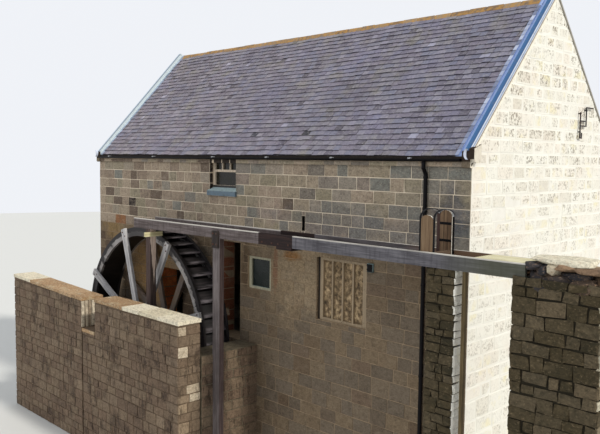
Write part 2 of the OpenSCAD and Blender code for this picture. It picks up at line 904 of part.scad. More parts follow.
module yard_wall() {
    color(stone) in_frame() along_y(-pit_w - pit_wall_t, -pit_w)
        polygon([[-yard_wall_end, 0], [-yard_wall_x, 0], [-yard_wall_x, yard_wall_z],
            [-yard_wall_end, yard_wall_z + yard_wall_rise]]);
}

// An open trough of three boards, from x0 to x1
module trough(x0, x1) {
    difference() {
        block([x0, launder_near, launder_z], [x1, launder_far, launder_top]);
        block([x0 - 1, launder_near + launder_t, launder_floor],
            [x1 + 1, launder_far - launder_t, launder_top + 1]);
    }
}

module launder_left_length() {
    color(timber) in_frame() trough(-launder_left, -splice_left);
}

// The splice with a board under its right end
module launder_splice() {
    right = -splice_left + splice_len;
    color(wet_wood) in_frame() {
        trough(-splice_left, right);
        block([right - splice_board_x - splice_board_len, launder_near, launder_z - splice_board_t],
            [right - splice_board_x, launder_far, launder_z]);
    }
}

module launder_right_length() {
    color(timber) in_frame() trough(-splice_left + splice_len, launder_right);
}

// A pale board laid in the trough's mouth, flush with the tops of its sides
module inlet_cover() {
    color(cream) in_frame()
        block([cover_x, launder_near + launder_t, launder_top - cover_t],
            [launder_right, launder_far - launder_t, launder_top]);
}

module wheel_post() {
    color(timber) in_frame()
        block([-wheel_post_x - wheel_post_w / 2, launder_near, 0],
            [-wheel_post_x + wheel_post_w / 2, launder_near + wheel_post_d, launder_z]);
}

// A pale plank across the wheel post's right side, under the launder
module bolster() {
    foot = [-wheel_post_x + wheel_post_w / 2, launder_near - bolster_out,
        launder_z - bolster_drop - bolster_h];
    color(cream) in_frame() block(foot, foot + [bolster_t, bolster_len, bolster_h]);
}

module middle_post() {
    color(old_oak) in_frame() {
        block([-mid_post_x - mid_post_w / 2, launder_near, 0],
            [-mid_post_x + mid_post_w / 2, launder_near + mid_post_d, launder_z]);
        block([-mid_post_x - mid_post_w / 2 + cleat_in, launder_near - cleat_t, launder_z - cleat_down],
            [-mid_post_x + mid_post_w / 2 - cleat_in, launder_near, launder_z + cleat_up]);
    }
}

module right_post() {
    color(timber) in_frame()
        block([right_post_x - right_post_w / 2, launder_near + support_in, 0],
            [right_post_x + right_post_w / 2, launder_near + support_in + right_post_w, launder_z]);
}

module launder_pier() {
    color(stone) in_frame()
        block([pier_x, launder_near + support_in, 0],
            [pier_x + pier_w, launder_near + support_in + pier_d, launder_z]);
}

// A boulder's outline in plan, in shares of the abutment's length and width
module boulder(outline, run, width, h) {
    linear_extrude(h) polygon([for (p = outline) [p[0] * run, p[1] * width]]);
}

// A built-up footing under the launder's end, with three boulders on it
module abutment() {
    y0 = launder_near - abutment_out;
    y1 = launder_far + abutment_out;
    run = abutment_end - launder_right;
    top = launder_top - boulder_h / 2;
    color(stone) in_frame() {
        block([launder_right - abutment_lap, y0, 0], [launder_right, y1, launder_z]);
        block([launder_right, y0, 0], [abutment_end, y1, top]);
        translate([launder_right, y0, top]) {
            boulder([[0, 0.05], [0.25, 0], [0.32, 0.26], [0.27, 0.69], [0.05, 0.86], [0, 0.64]],
                run, y1 - y0, boulder_h);
            boulder([[0.33, 0.04], [0.62, 0], [0.67, 0.37], [0.57, 0.79], [0.34, 0.93],
                [0.28, 0.74]], run, y1 - y0, boulder_h * 0.8);
            boulder([[0.68, 0.07], [0.89, 0.15], [0.97, 0.47], [0.86, 0.85], [0.63, 0.97],
                [0.59, 0.8]], run, y1 - y0, boulder_h * 0.62);
        }
    }
}

// Half an oval on legs: the outline of a hoop or of a cheek
module arch(w, foot, top, rise) {
    springing = top - rise;
    polygon(concat([[-w / 2, foot]],
        [for (a = [180:-10:0]) [w / 2 * cos(a), springing + rise * sin(a)]], [[w / 2, foot]]));
}

// Two iron hoops that stand across the trough on its floor
module sluice_hoops() {
    color(iron) in_frame() for (x = hoop_x) along_x(x - hoop_bar / 2, x + hoop_bar / 2)
        translate([trough_mid, 0]) difference() {
            arch(trough_w, launder_floor, hoop_top, hoop_rise);
            arch(trough_w - 2 * hoop_t, launder_floor - 1, hoop_top - hoop_t, hoop_rise - hoop_t);
        }
}

// Two round-headed boards between the hoops, one against each side of the trough
module sluice_cheeks() {
    w = hoop_gap - hoop_bar;
    color(timber) in_frame() translate([sluice_x, 0, 0]) {
        along_y(launder_near + launder_t, launder_near + launder_t + cheek_t)
            arch(w, launder_floor, near_cheek_top, w / 3);
        along_y(launder_far - launder_t - cheek_t, launder_far - launder_t)
            arch(w, launder_floor, far_cheek_top, w / 2.4);
    }
}

module cheek_straps() {
    w = hoop_gap - hoop_bar;
    inset = trough_w / 2 - cheek_t;
    color(iron) in_frame() for (z = strap_z, side = [0, 1])
        translate([sluice_x, trough_mid, z]) mirror([0, side, 0])
            translate([-w / 2, inset - strap_t, 0]) cube([w, strap_t, strap_h]);
}

module sluice_gate() {
    x0 = hoop_x[1] - hoop_bar / 2 - gate_gap - gate_t;
    half = trough_w / 2 - cheek_t - strap_t - gate_gap;
    color(timber) in_frame()
        block([x0, trough_mid - half, launder_floor], [x0 + gate_t, trough_mid + half, launder_top]);
}

front_wall_left();
front_wall_right();
front_wall_upper();
doorway_lintel();
shaft_lintel();
back_wall();
right_gable();
left_gable();
ground_floor();
upper_floor();
floor_beams();
roof_front();
roof_back();
ridge();
right_verge();
left_verge();
kneelers();
gutters();
downpipes();
pipe_brackets();
window_sills();
upper_window();
lower_window();
wide_light();
wide_light_panels();
back_windows();
window_glass();
wall_box();
gable_bracket();
wheel_shrouds();
wheel_buckets();
wheel_sole();
wheel_arms();
wheel_naves();
wheel_axle();
bearings();
bearing_pier();
pit_wall();
pit_end_walls();
yard_wall();
launder_left_length();
launder_splice();
launder_right_length();
inlet_cover();
wheel_post();
bolster();
middle_post();
right_post();
launder_pier();
abutment();
sluice_hoops();
sluice_cheeks();
cheek_straps();
sluice_gate();
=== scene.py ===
# %% [markdown]
# # A stone watermill, dressed in Blender
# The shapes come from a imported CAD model: walls, roof, wheel, launder. This lesson gives them
# what a drawing leaves out: single stones, slates, weathered boards, iron and old paint.
# Everything is in metres, in the same frame as the CAD model.

# %% The frame and the tools of this lesson
import math
import random

import bmesh
import bpy
import numpy as np
from mathutils import Matrix, Vector


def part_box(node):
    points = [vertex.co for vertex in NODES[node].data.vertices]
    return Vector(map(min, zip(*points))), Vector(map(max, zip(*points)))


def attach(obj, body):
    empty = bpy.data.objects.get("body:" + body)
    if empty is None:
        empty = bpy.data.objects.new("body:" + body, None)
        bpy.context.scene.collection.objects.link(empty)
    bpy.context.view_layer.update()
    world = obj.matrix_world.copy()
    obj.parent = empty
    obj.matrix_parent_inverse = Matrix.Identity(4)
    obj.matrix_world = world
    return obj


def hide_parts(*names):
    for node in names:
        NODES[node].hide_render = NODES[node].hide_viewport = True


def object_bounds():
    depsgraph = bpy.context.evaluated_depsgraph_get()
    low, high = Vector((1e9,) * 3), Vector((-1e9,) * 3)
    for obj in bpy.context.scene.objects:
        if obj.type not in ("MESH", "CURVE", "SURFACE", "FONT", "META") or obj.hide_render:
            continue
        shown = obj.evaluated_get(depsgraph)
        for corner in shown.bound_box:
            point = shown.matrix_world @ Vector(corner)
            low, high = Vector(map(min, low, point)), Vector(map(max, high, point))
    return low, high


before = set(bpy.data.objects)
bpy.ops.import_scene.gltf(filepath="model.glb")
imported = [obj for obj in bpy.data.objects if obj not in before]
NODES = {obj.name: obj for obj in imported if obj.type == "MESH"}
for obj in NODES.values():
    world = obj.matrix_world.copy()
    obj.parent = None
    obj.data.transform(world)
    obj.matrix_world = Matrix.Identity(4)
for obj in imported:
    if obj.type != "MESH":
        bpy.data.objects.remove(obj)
cad_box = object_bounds()
print("CAD nodes:", len(NODES))

# %% [markdown]
# The mill house's right front corner, on the pit's bottom, is the place from which a mason
# would measure this building. All places below are given from that corner: x to the right
# along the front, y into the house, z up. Sizes that a CAD node holds are read from its box;
# a plain number stands only for what no node can tell.

# %% A place measured from the corner
CORNER = Vector((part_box("front_wall_right")[1].x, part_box("front_wall_right")[0].y, 0.0))


def at(x, y, z):
    """A point of the frame from its place beside the house's right front corner."""
    return np.array((CORNER.x + x, CORNER.y + y, z))


def local_box(node):
    """A CAD node's lowest and highest corner, measured from the house's corner."""
    low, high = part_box(node)
    return low - CORNER, high - CORNER


HOUSE_LEFT = local_box("front_wall_left")[0].x
HOUSE_BACK = local_box("back_wall")[1].y
WALL_T = local_box("front_wall_upper")[1].y
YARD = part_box("ground_floor")[1].z
EAVES_EDGE = local_box("roof_front")[0]
RIDGE_TOP = local_box("roof_front")[1].z
EAVES_TOP = 7.78  # where the slates' plane crosses the front
SLOPE = (RIDGE_TOP - EAVES_TOP) / (HOUSE_BACK / 2)
print("house", round(-HOUSE_LEFT, 2), "x", round(HOUSE_BACK, 2), "m, slope", round(SLOPE, 3))


def roof_z(y):
    """Height of the slates' surface at a distance from the front."""
    return EAVES_TOP + SLOPE * min(y, HOUSE_BACK - y)


# %% [markdown]
# The camera stands where the photographer stood. Its place, direction and lens were found
# from the corners of the house in the photograph, and a camera's matrix holds its right
# hand, its up and its back as columns.

# %% The camera
def in_scene(name, data):
    """A new object that is part of the scene."""
    made = bpy.data.objects.new(name, data)
    bpy.context.scene.collection.objects.link(made)
    return made


EYE_PLACE = Vector((7.291, -11.510, 7.588))
eye = bpy.data.cameras.new("view")
eye.lens, eye.sensor_width = 43.65, 36.0
camera = in_scene("view", eye)
yaw, pitch, roll = (math.radians(a) for a in (45.58, 4.413, 0.665))
ahead = Vector((-math.sin(yaw) * math.cos(pitch), math.cos(yaw) * math.cos(pitch),
                -math.sin(pitch)))
level = Vector((math.cos(yaw), math.sin(yaw), 0.0))
over = level.cross(ahead)
right = math.cos(roll) * level + math.sin(roll) * over
up = math.cos(roll) * over - math.sin(roll) * level
turn = Matrix((right, up, -ahead)).transposed().to_4x4()
camera.matrix_world = Matrix.Translation(CORNER + EYE_PLACE) @ turn
bpy.context.scene.camera = camera
print("camera at", tuple(round(v, 2) for v in camera.location))

# %% [markdown]
# Shader nodes are easier to read as sums. `Value` wraps one socket, and adding or
# multiplying values adds the Math nodes.

# %% Sums of sockets
class Value:
    """A socket of a finish that can stand in a sum."""

    def __init__(self, finish, socket):
        self.finish, self.socket = finish, socket

    def math(self, operation, *others):
        values = {i: v for i, v in enumerate((self,) + others)}
        return self.finish.node("ShaderNodeMath", {"operation": operation}, values)

    def __add__(self, other):
        return self.math("ADD", other)

    def __sub__(self, other):
        return self.math("SUBTRACT", other)

    def __rsub__(self, other):
        return self.finish.node("ShaderNodeMath", {"operation": "SUBTRACT"}, {0: other, 1: self})

    def __mul__(self, other):
        return self.math("MULTIPLY", other)

    def __truediv__(self, other):
        return self.math("DIVIDE", other)

    def over(self, low, high):
        """0 below low, 1 above high, straight between them."""
        settings = {"clamp": True}
        return self.finish.node("ShaderNodeMapRange", settings, {0: self, 1: low, 2: high})

    __radd__, __rmul__ = __add__, __mul__


print("values add, subtract, multiply and divide")

# %% [markdown]
# `Finish` is one material: its `node` method makes any node from its type, its settings and
# its sockets. Most old surfaces are patches of a second colour over a first, so `patches`
# does that in one line.

# %% One finish
class Finish:
    """A material made of nodes, with one principled shader at its end."""

    def __init__(self, name, **constants):
        self.material = bpy.data.materials.new(name)
        self.material.use_nodes = True
        self.tree = self.material.node_tree
        self.shader = self.tree.nodes["Principled BSDF"]
        for key, value in constants.items():
            self.shader.inputs[key.replace("_", " ")].default_value = value
        self.place = self.node("ShaderNodeTexCoord", out="Object")

    def node(self, kind, settings=None, sockets=None, out=0):
        made = self.tree.nodes.new(kind)
        for key, value in (settings or {}).items():
            if key == "stops":
                self.set_stops(made.color_ramp, value)
            else:
                setattr(made, key, value)
        for key, value in (sockets or {}).items():
            self.feed(made.inputs[key], value)
        return Value(self, made.outputs[out])

    def feed(self, socket, value):
        if isinstance(value, Value):
            self.tree.links.new(value.socket, socket)
        elif value is not None:
            socket.default_value = value

    def set_stops(self, ramp, stops):
        while len(ramp.elements) > 1:
            ramp.elements.remove(ramp.elements[0])
        ramp.elements[0].position, ramp.elements[0].color = stops[0][0], rgba(stops[0][1])
        for position, colour in stops[1:]:
            ramp.elements.new(position).color = rgba(colour)

    def end(self, **sockets):
        for key, value in sockets.items():
            self.feed(self.shader.inputs[key.replace("_", " ")], value)
        return self.material

    def noise(self, size, detail=4.0, rough=0.6, stretch=(1, 1, 1), place=None):
        """Soft random mottling whose patches are about size metres wide."""
        spot = self.node("ShaderNodeVectorMath", {"operation": "MULTIPLY"},
                         {0: place or self.place, 1: [s / size for s in stretch]})
        return self.node("ShaderNodeTexNoise", None,
                         {"Vector": spot, "Scale": 1.0, "Detail": detail, "Roughness": rough})

    def patches(self, colour, tint, size, band, share=1.0, how="MIX", detail=4.0, rough=0.6,
                stretch=(1, 1, 1), place=None):
        """A tint on the spots where a noise of this size has passed through the band."""
        mask = self.noise(size, detail, rough, stretch, place).over(*band)
        return self.mix(colour, tint, mask if share == 1.0 else mask * share, how)

    def ramp(self, value, *stops):
        return self.node("ShaderNodeValToRGB", {"stops": stops}, {0: value})

    def mix(self, first, second, factor, how="MIX"):
        """From one colour to another by a factor from 0 to 1."""
        first, second = (rgba(c) if isinstance(c, tuple) else c for c in (first, second))
        return self.node("ShaderNodeMix", {"data_type": "RGBA", "blend_type": how},
                         {0: factor, 6: first, 7: second}, out=2)

    def named(self, name):
        """A number that each small piece carries on its faces."""
        return self.node("ShaderNodeAttribute", {"attribute_name": name}, out="Fac")

    def axis(self, letter):
        """One coordinate of the place on the object, in metres."""
        return self.node("ShaderNodeSeparateXYZ", None, {0: self.place}, out=letter)

    def bump(self, height, depth, strength=1.0):
        return self.node("ShaderNodeBump", None,
                         {"Height": height, "Distance": depth, "Strength": strength})


def rgba(colour):
    """A colour given as it shows on screen, turned into the light values that nodes take."""
    linear = [c / 12.92 if c <= 0.04045 else ((c + 0.055) / 1.055) ** 2.4 for c in colour[:3]]
    return (*linear, 1.0)


def shade(colour, share):
    """The same colour darker or lighter."""
    return tuple(min(1.0, share * c) for c in colour)


print("half grey on screen is light of", round(rgba((0.5, 0.5, 0.5))[0], 3))

# %% [markdown]
# A wall holds hundreds of stones. One object for each would be slow, so they are gathered in
# a `Pile`: one mesh, in which each stone carries its own random tone for the material.

# %% Many small pieces in one mesh
class Pile:
    """Small solids gathered into one mesh, each with its own tone from 0 to 1."""

    def __init__(self, seed):
        self.points, self.faces, self.tones, self.count = [], [], [], 0
        self.random = random.Random(seed)

    def add(self, points, faces, tone=None):
        tone = self.random.random() if tone is None else tone
        self.points.append(np.asarray(points, float))
        self.faces.extend([tuple(self.count + i for i in face) for face in faces])
        self.tones.extend(tone if isinstance(tone, list) else [tone] * len(faces))
        self.count += len(points)

    def build(self, name, body, slot, material, smooth=False):
        mesh = bpy.data.meshes.new(name)
        places = np.clip(np.concatenate(self.points), *cad_box)
        mesh.from_pydata(places.tolist(), [], self.faces)
        mesh.attributes.new("tone", "FLOAT", "FACE").data.foreach_set("value", self.tones)
        mesh.polygons.foreach_set("use_smooth", [smooth] * len(self.faces))
        mesh.materials.append(material)
        made = in_scene(name, mesh)
        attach(made, body)
        print(name, len(self.faces), "faces")
        return made


# %% [markdown]
# A squared stone is not a box: its arrises are worn and its face is dressed by hand. Each one
# here has a four by four grid for its face, with the outer ring pushed back, and a skirt that
# goes into the mortar.

# %% One dressed stone
GRID = [(i, j) for j in range(4) for i in range(4)]
RIM = [0, 1, 2, 3, 7, 11, 15, 14, 13, 12, 8, 4]
STONE_FACES = [(a, a + 1, a + 5, a + 4) for a in (0, 1, 2, 4, 5, 6, 8, 9, 10)]
STONE_FACES += [(RIM[k], 16 + k, 16 + (k + 1) % 12, RIM[(k + 1) % 12]) for k in range(12)]


def stone(pile, corners, out, proud, worn=0.016, rough=0.004, sunk=0.02, tone=None, margin=None):
    """A stone from its face's four corners, anticlockwise from outside, and the way out.

    margin is a tone of its own for the ring round the face."""
    pick = pile.random.uniform
    low, side, top, far = (np.asarray(c, float) for c in corners)
    width = max(np.linalg.norm(side - low), 1e-3)
    height = max(np.linalg.norm(far - low), np.linalg.norm(top - side), 1e-3)
    eu, ev = min(worn / width, 0.3), min(worn / height, 0.3)
    us, vs = (0.0, eu, 1 - eu, 1.0), (0.0, ev, 1 - ev, 1.0)
    points = []
    for i, j in GRID:
        u, v = us[i], vs[j]
        spot = (1 - v) * ((1 - u) * low + u * side) + v * ((1 - u) * far + u * top)
        edge = (i in (0, 3)) + (j in (0, 3))
        lift = proud + pick(-rough, rough) - (0.0, 0.5, 0.8)[edge] * min(proud, worn)
        points.append(spot + out * lift)
    for k in RIM:
        points.append(points[k] - out * (sunk + proud))
    if margin is not None:
        tone = pile.random.random() if tone is None else tone
        tone = [tone if k == 4 else margin for k in range(len(STONE_FACES))]
    pile.add(points, STONE_FACES, tone)


print("a stone has", len(STONE_FACES), "faces")

# %% [markdown]
# A mason lays courses. For each course the free lengths between windows and doors are found
# and filled with stones of differing lengths; where a sill or a lintel cuts into a course,
# the stones there are cut down to fit.

# %% Free pieces of a course
class Side:
    """A flat upright side of a wall: where it starts, its way along and its way out."""

    def __init__(self, start, along, out):
        self.start, self.along, self.out = start, np.array(along, float), np.array(out, float)

    def spot(self, u, z):
        return self.start + self.along * u + np.array((0, 0, z))


def free_bands(u0, u1, z0, z1, holes):
    """The pieces of a course that no hole takes, as (from, to, foot, head).

    A hole is (left, right, foot, head) too."""
    near = [h for h in holes if h[2] < z1 and h[3] > z0]
    cuts = sorted({u0, u1} | {min(max(h[i], u0), u1) for h in near for i in (0, 1)})
    bands = []
    for a, b in zip(cuts, cuts[1:]):
        levels = [(z0, z1)]
        for h in near:
            if h[0] < b - 1e-6 and h[1] > a + 1e-6:
                levels = [part for f, t in levels
                          for part in ((f, min(t, h[2])), (max(f, h[3]), t))
                          if part[1] - part[0] > 0.03]
        for f, t in levels:
            if bands and bands[-1][1] == a and bands[-1][2:] == (f, t):
                bands[-1] = (bands[-1][0], b, f, t)
            else:
                bands.append((a, b, f, t))
    return bands


def sloped_bands(bands, head):
    """The same pieces, parted where a sloping wall head enters and leaves the course."""
    if not head:
        return bands
    parts = []
    for a, b, foot, top in bands:
        steps = np.linspace(a, b, 241)
        heads = np.array([head(u) for u in steps])
        cuts = [a, b]
        for level in (foot + 0.03, top):
            cross = np.nonzero((heads[:-1] - level) * (heads[1:] - level) < 0)[0]
            cuts += [(steps[i] + steps[i + 1]) / 2 for i in cross]
        cuts.sort()
        parts += [(c, d, foot, top) for c, d in zip(cuts, cuts[1:]) if d - c > 0.02]
    return parts


def lengths(total, low, high, pick):
    """Random lengths that fill a total."""
    parts, left = [], total
    while left > high:
        step = pick(low, min(high, left - low)) if left - low > low else left
        parts.append(step)
        left -= step
    return parts + ([left] if left > 1e-3 else [])


print("beside a door from 0.5 to 1.0:", free_bands(0.0, 2.0, 0.0, 0.3, [(0.5, 1.0, 0.0, 2.0)]))

# %% [markdown]
# `lay` fills those pieces with stones. Their corners are moved a few millimetres at random,
# so no joint is quite straight. The heights at which courses start are drawn once for the
# whole house, because a mason carries each course round the corners.

# %% Courses of stones on a flat side
def lay(pile, side, width, levels, holes=(), head=None, size=(0.3, 0.62), joint=0.022,
        proud=0.01, rough=0.004, jitter=0.004, tone=None, worn=0.016, margin=None):
    """Courses between the given levels; head(u) is the wall's top where it slopes."""
    pick = pile.random.uniform
    for z0, z1 in zip(levels, levels[1:]):
        for a, b, foot, top in sloped_bands(free_bands(0.0, width, z0, z1, holes), head):
            u = a
            for part in lengths(b - a, *size, pick):
                ends = (u + joint / 2, u + part - joint / 2)
                u += part
                tops = [min(top, head(e)) if head else top for e in ends]
                if max(tops) - foot < 0.05 or ends[1] - ends[0] < 0.03:
                    continue
                tops = [max(t, foot + 0.02) - joint / 2 for t in tops]
                bed = foot + joint / 2
                places = ((ends[0], bed), (ends[1], bed), (ends[1], tops[1]), (ends[0], tops[0]))
                corners = [side.spot(e + pick(-jitter, jitter), z + pick(-jitter, jitter))
                           for e, z in places]
                own = tone(u, foot, pile.random) if tone else None
                ring = worn if margin is None else worn * pick(0.35, 1.25)
                stone(pile, corners, side.out, proud + pick(-rough, rough), ring, rough,
                      tone=own, margin=margin)


def course_levels(foot, top, height, spread, seed):
    """Heights at which courses start, from a foot to a top."""
    pick = random.Random(seed).uniform
    levels, z = [foot], foot
    while z < top - 0.6 * height:
        z += pick(height - spread, height + spread)
        levels.append(min(z, top))
    levels[-1] = top
    return levels


GABLE_TIP = 11.2
LEVELS = course_levels(0.0, YARD, 0.31, 0.03, 3)[:-1]
LEVELS += course_levels(YARD, GABLE_TIP, 0.272, 0.022, 5)
print("courses of the house:", len(LEVELS) - 1)

# %% [markdown]
# Sandstone is first a colour for each stone and then small mottling on it. An image of a
# wall would repeat and blur close up, while noise measured in metres stays sharp at any
# distance. The front's stones run from tan to grey, with a few that are dark or orange.

# %% Sandstone
def wash_over(it, colour, x, z, wide, high, tint, share):
    """A soft cloud of colour on the front, from its middle and half sizes."""
    away = [(it.axis(letter) - middle) / half for letter, middle, half
            in (("X", float(CORNER.x) + x, wide), ("Z", z, high))]
    far = (away[0] * away[0] + away[1] * away[1]).math("SQRT") + it.noise(0.3) * 1.6 - 0.8
    return it.mix(colour, tint, (1.0 - far.over(0.5, 1.1)) * share)


def sandstone(name, stops, dark, grain=0.03, stain=0.5, pits=0.4, washes=(), blotch=0.0,
              drips=0.0):
    """Stone whose colour comes from its tone, with mottling, pits and washes of colour."""
    it = Finish(name, Specular_IOR_Level=0.25)
    colour = it.ramp(it.named("tone"), *stops)
    for wash in washes:
        colour = wash_over(it, colour, *wash)
    pale = shade(stops[len(stops) // 2][1], 1.18)
    colour = it.patches(colour, dark, 0.09, (0.50, 0.78), stain, detail=5.0)
    if blotch:
        colour = it.patches(colour, dark, 0.38, (0.53, 0.64), blotch, rough=0.7,
                            stretch=(1, 1, 0.6))
    if drips:
        run = it.noise(0.075, 4.0, 0.7, (1, 1, 0.2)).over(0.53, 0.64)
        colour = it.mix(colour, shade(dark, 0.7),
                        run * it.noise(0.6, 2.0).over(0.40, 0.55) * drips)
    colour = it.patches(colour, shade(dark, 0.55), 0.028, (0.58, 0.70), pits, detail=3.0,
                        rough=0.55)
    colour = it.patches(colour, (0.70, 0.68, 0.66), 0.055, (0.35, 0.62), 0.5, "MULTIPLY",
                        stretch=(1, 1, 1.6))
    colour = it.patches(colour, pale, 0.045, (0.56, 0.72), 0.5, stretch=(1, 1, 1.5))
    colour = it.patches(colour, pale, 0.3, (0.55, 0.8), 0.35, detail=3.0, stretch=(1, 1, 2))
    height = it.noise(grain, 6.0, 0.7) + it.noise(0.008, 2.0) * 0.35
    return it.end(Base_Color=colour, Roughness=it.noise(0.05) * 0.15 + 0.8,
                  Normal=it.bump(height, 0.012, 0.7))


# Tone 0, near black, is soot on a few odd stones and painted shade in two left reveals.
SOOT_AND_REVEAL_SHADE = (0.15, 0.11, 0.09)
FRONT_STONE = sandstone("front sandstone", (
    (0.0, SOOT_AND_REVEAL_SHADE), (0.04, SOOT_AND_REVEAL_SHADE), (0.06, (0.44, 0.38, 0.33)),
    (0.2, (0.63, 0.56, 0.49)), (0.35, (0.71, 0.64, 0.56)), (0.5, (0.62, 0.58, 0.49)),
    (0.6, (0.66, 0.61, 0.55)), (0.75, (0.53, 0.53, 0.50)), (0.88, (0.61, 0.55, 0.50)),
    (0.92, (0.53, 0.50, 0.46)), (0.96, (0.60, 0.44, 0.29)), (1.0, (0.60, 0.42, 0.28))),
    (0.32, 0.28, 0.25), 0.03, 0.65, 0.55,
    ((-5.5, 6.4, 0.5, 0.5, (0.76, 0.67, 0.60), 0.6),
     (-0.4, 6.6, 0.5, 0.55, (0.34, 0.35, 0.39), 0.7),
     # painted shade: a blue grey cloud on the wall just over the launder
     (-3.2, 6.2, 2.6, 0.42, (0.42, 0.43, 0.45), 0.5)))
LOWER_STONE = sandstone("brown front sandstone", (
    (0.0, SOOT_AND_REVEAL_SHADE), (0.04, SOOT_AND_REVEAL_SHADE), (0.06, (0.38, 0.31, 0.25)),
    (0.2, (0.47, 0.40, 0.32)), (0.4, (0.53, 0.46, 0.37)), (0.6, (0.48, 0.43, 0.37)),
    (0.8, (0.44, 0.39, 0.33)), (0.92, (0.48, 0.41, 0.34)), (0.96, (0.56, 0.36, 0.25)),
    (1.0, (0.56, 0.34, 0.24))), (0.28, 0.24, 0.19), 0.03, 0.6, 0.5,
    ((-12.6, 5.45, 0.7, 0.3, (0.62, 0.50, 0.30), 0.6),
     (-10.6, 4.4, 1.4, 1.0, (0.72, 0.56, 0.34), 0.65),
     (-4.5, 5.0, 1.1, 1.2, (0.74, 0.65, 0.52), 0.5),
     (-4.7, 5.42, 0.3, 0.14, (0.58, 0.40, 0.20), 0.8),
     # painted shade: a dark brown cloud beside the doorway
     (-6.34, 5.0, 0.22, 0.9, (0.34, 0.26, 0.18), 0.7),
     (-5.25, 5.05, 0.09, 0.6, (0.52, 0.33, 0.24), 0.6)))
print("sandstone nodes:", len(FRONT_STONE.node_tree.nodes))

# %% [markdown]
# The right gable takes the sun all day and has bleached to cream. Its masons left the middle
# of each stone rough and drew a smooth margin round it, so the dark specks must stop short of
# the edges. A tone of 1 on the ring of faces round a stone marks that margin.

# %% The bleached gable
CREAM = (0.93, 0.92, 0.88)


def gable_finish():
    """Sandstone bleached to cream, whose stones are speckled except along their margins."""
    it = Finish("bleached sandstone, also painted sunlight", Specular_IOR_Level=0.25)
    tone = it.named("tone")
    colour = it.ramp(tone, (0.0, (0.80, 0.77, 0.71)), (0.2, (0.89, 0.87, 0.82)),
                     (0.5, (0.92, 0.91, 0.87)), (0.9, (0.91, 0.88, 0.83)), (1.0, CREAM))
    inner = 1.0 - tone.over(0.95, 0.98)
    height = it.axis("Z").over(5.6, 8.4) * 0.42 + 0.42
    own = (tone * 17.0).math("FRACT").over(0.1, 0.75) * 0.75 + 0.25
    colour = it.mix(colour, CREAM, (0.9 - height) * 0.9)
    speck = it.noise(0.048, 5.0, 0.68).over(0.48, 0.57) * it.noise(0.22, 3.0).over(0.36, 0.54)
    colour = it.mix(colour, (0.43, 0.38, 0.31), speck * inner * height * own)
    moss = it.noise(0.4, 3.0).over(0.56, 0.72) * inner * 0.5
    colour = it.mix(colour, (0.92, 0.88, 0.70), moss)
    colour = it.patches(colour, (0.90, 0.84, 0.78), 1.1, (0.5, 0.75), 0.4, detail=3.0)
    bumps = it.noise(0.03, 6.0, 0.7) + it.noise(0.008, 2.0) * 0.35
    return it.end(Base_Color=colour, Roughness=it.noise(0.05) * 0.15 + 0.8,
                  Normal=it.bump(bumps, 0.010, 0.6))


GABLE_STONE = gable_finish()
print("gable nodes:", len(GABLE_STONE.node_tree.nodes))

# %% [markdown]
# Mortar is the CAD wall itself, seen in the joints between the stones laid on it. So it needs
# no mesh of its own, only a finish for each wall, duller where the wall is damp.

# %% Mortar
def mortar(name, colour, dark):
    """Lime mortar, a little darker where damp."""
    it = Finish(name, Specular_IOR_Level=0.2, Roughness=0.95)
    tint = it.patches(colour, dark, 0.5, (0.4, 0.75), 0.7)
    return it.end(Base_Color=tint, Normal=it.bump(it.noise(0.02), 0.006, 0.6))


def dress(material, *nodes):
    """The first finish of CAD nodes."""
    for node in nodes:
        NODES[node].data.materials[0] = material


def refinish(mesh, material, choose):
    """Gives another finish to those faces of a mesh that choose(centre, normal) picks."""
    mesh.materials.append(material)
    for polygon in mesh.polygons:
        if choose(polygon.center, polygon.normal):
            polygon.material_index = len(mesh.materials) - 1


MORTAR = mortar("old mortar", (0.92, 0.86, 0.77), (0.74, 0.67, 0.58))
LOWER_MORTAR = mortar("brown mortar", (0.62, 0.54, 0.44), (0.42, 0.35, 0.28))
GABLE_MORTAR = mortar("bleached mortar", (0.93, 0.92, 0.89), (0.86, 0.84, 0.80))
dress(MORTAR, "front_wall_upper", "back_wall", "left_gable")
dress(LOWER_MORTAR, "front_wall_left", "front_wall_right")
dress(GABLE_MORTAR, "right_gable")
for node in ("front_wall_right", "front_wall_upper", "back_wall"):
    refinish(NODES[node].data, GABLE_MORTAR,
             lambda spot, normal: normal.x > 0.9 and spot.x > CORNER.x - 0.01)
print("three mortars on six walls")

# %% [markdown]
# The four sides of the house share their course lines, so that stones meet at the corners.
# Openings are read from the frames or lintels that stand in them, the slit is listed, and all
# but the upper window and the slit get a long lintel stone.

# %% The house's openings
def opening(node, foot=0.0, head=0.0):
    """(left, right, foot, head) of an opening in the front, from what stands in it."""
    low, high = local_box(node)
    return [low.x, high.x, low.z - foot, high.z + head]


def under_lintel(node, foot):
    """(left, right, foot, head) of an opening in the front, from the lintel over it."""
    low, high = local_box(node)
    return [low.x, high.x, foot, low.z]


SILL_DEPTH = 0.205
UPPER = opening("upper_window", foot=SILL_DEPTH, head=1.0)
LOWER = opening("lower_window")
WIDE = opening("wide_light")
DOORWAY = under_lintel("doorway_lintel", YARD)
SHAFT = under_lintel("shaft_lintel", 2.70)
SLIT = [-4.388, -4.292, 6.01, 6.35]
HOLES = [UPPER, LOWER, WIDE, DOORWAY, SHAFT, SLIT]
LINTELS = [(h[0] - 0.17, h[1] + 0.17, h[3], h[3] + rise)
           for h, rise in ((LOWER, 0.25), (WIDE, 0.25), (DOORWAY, 0.28), (SHAFT, 0.22))]
print("openings:", len(HOLES), "lintels:", len(LINTELS))

# %% [markdown]
# The front is laid in two piles, because the stones over the upper floor are greyer than
# those below. Each stone's tone comes from a function of its place, so that warm stones
# gather at one end and a few dark or orange ones sit where the photograph has them.

# %% The front of the house
WALL_HEAD = 7.56  # the stones end here, behind the strips under the roof's edge


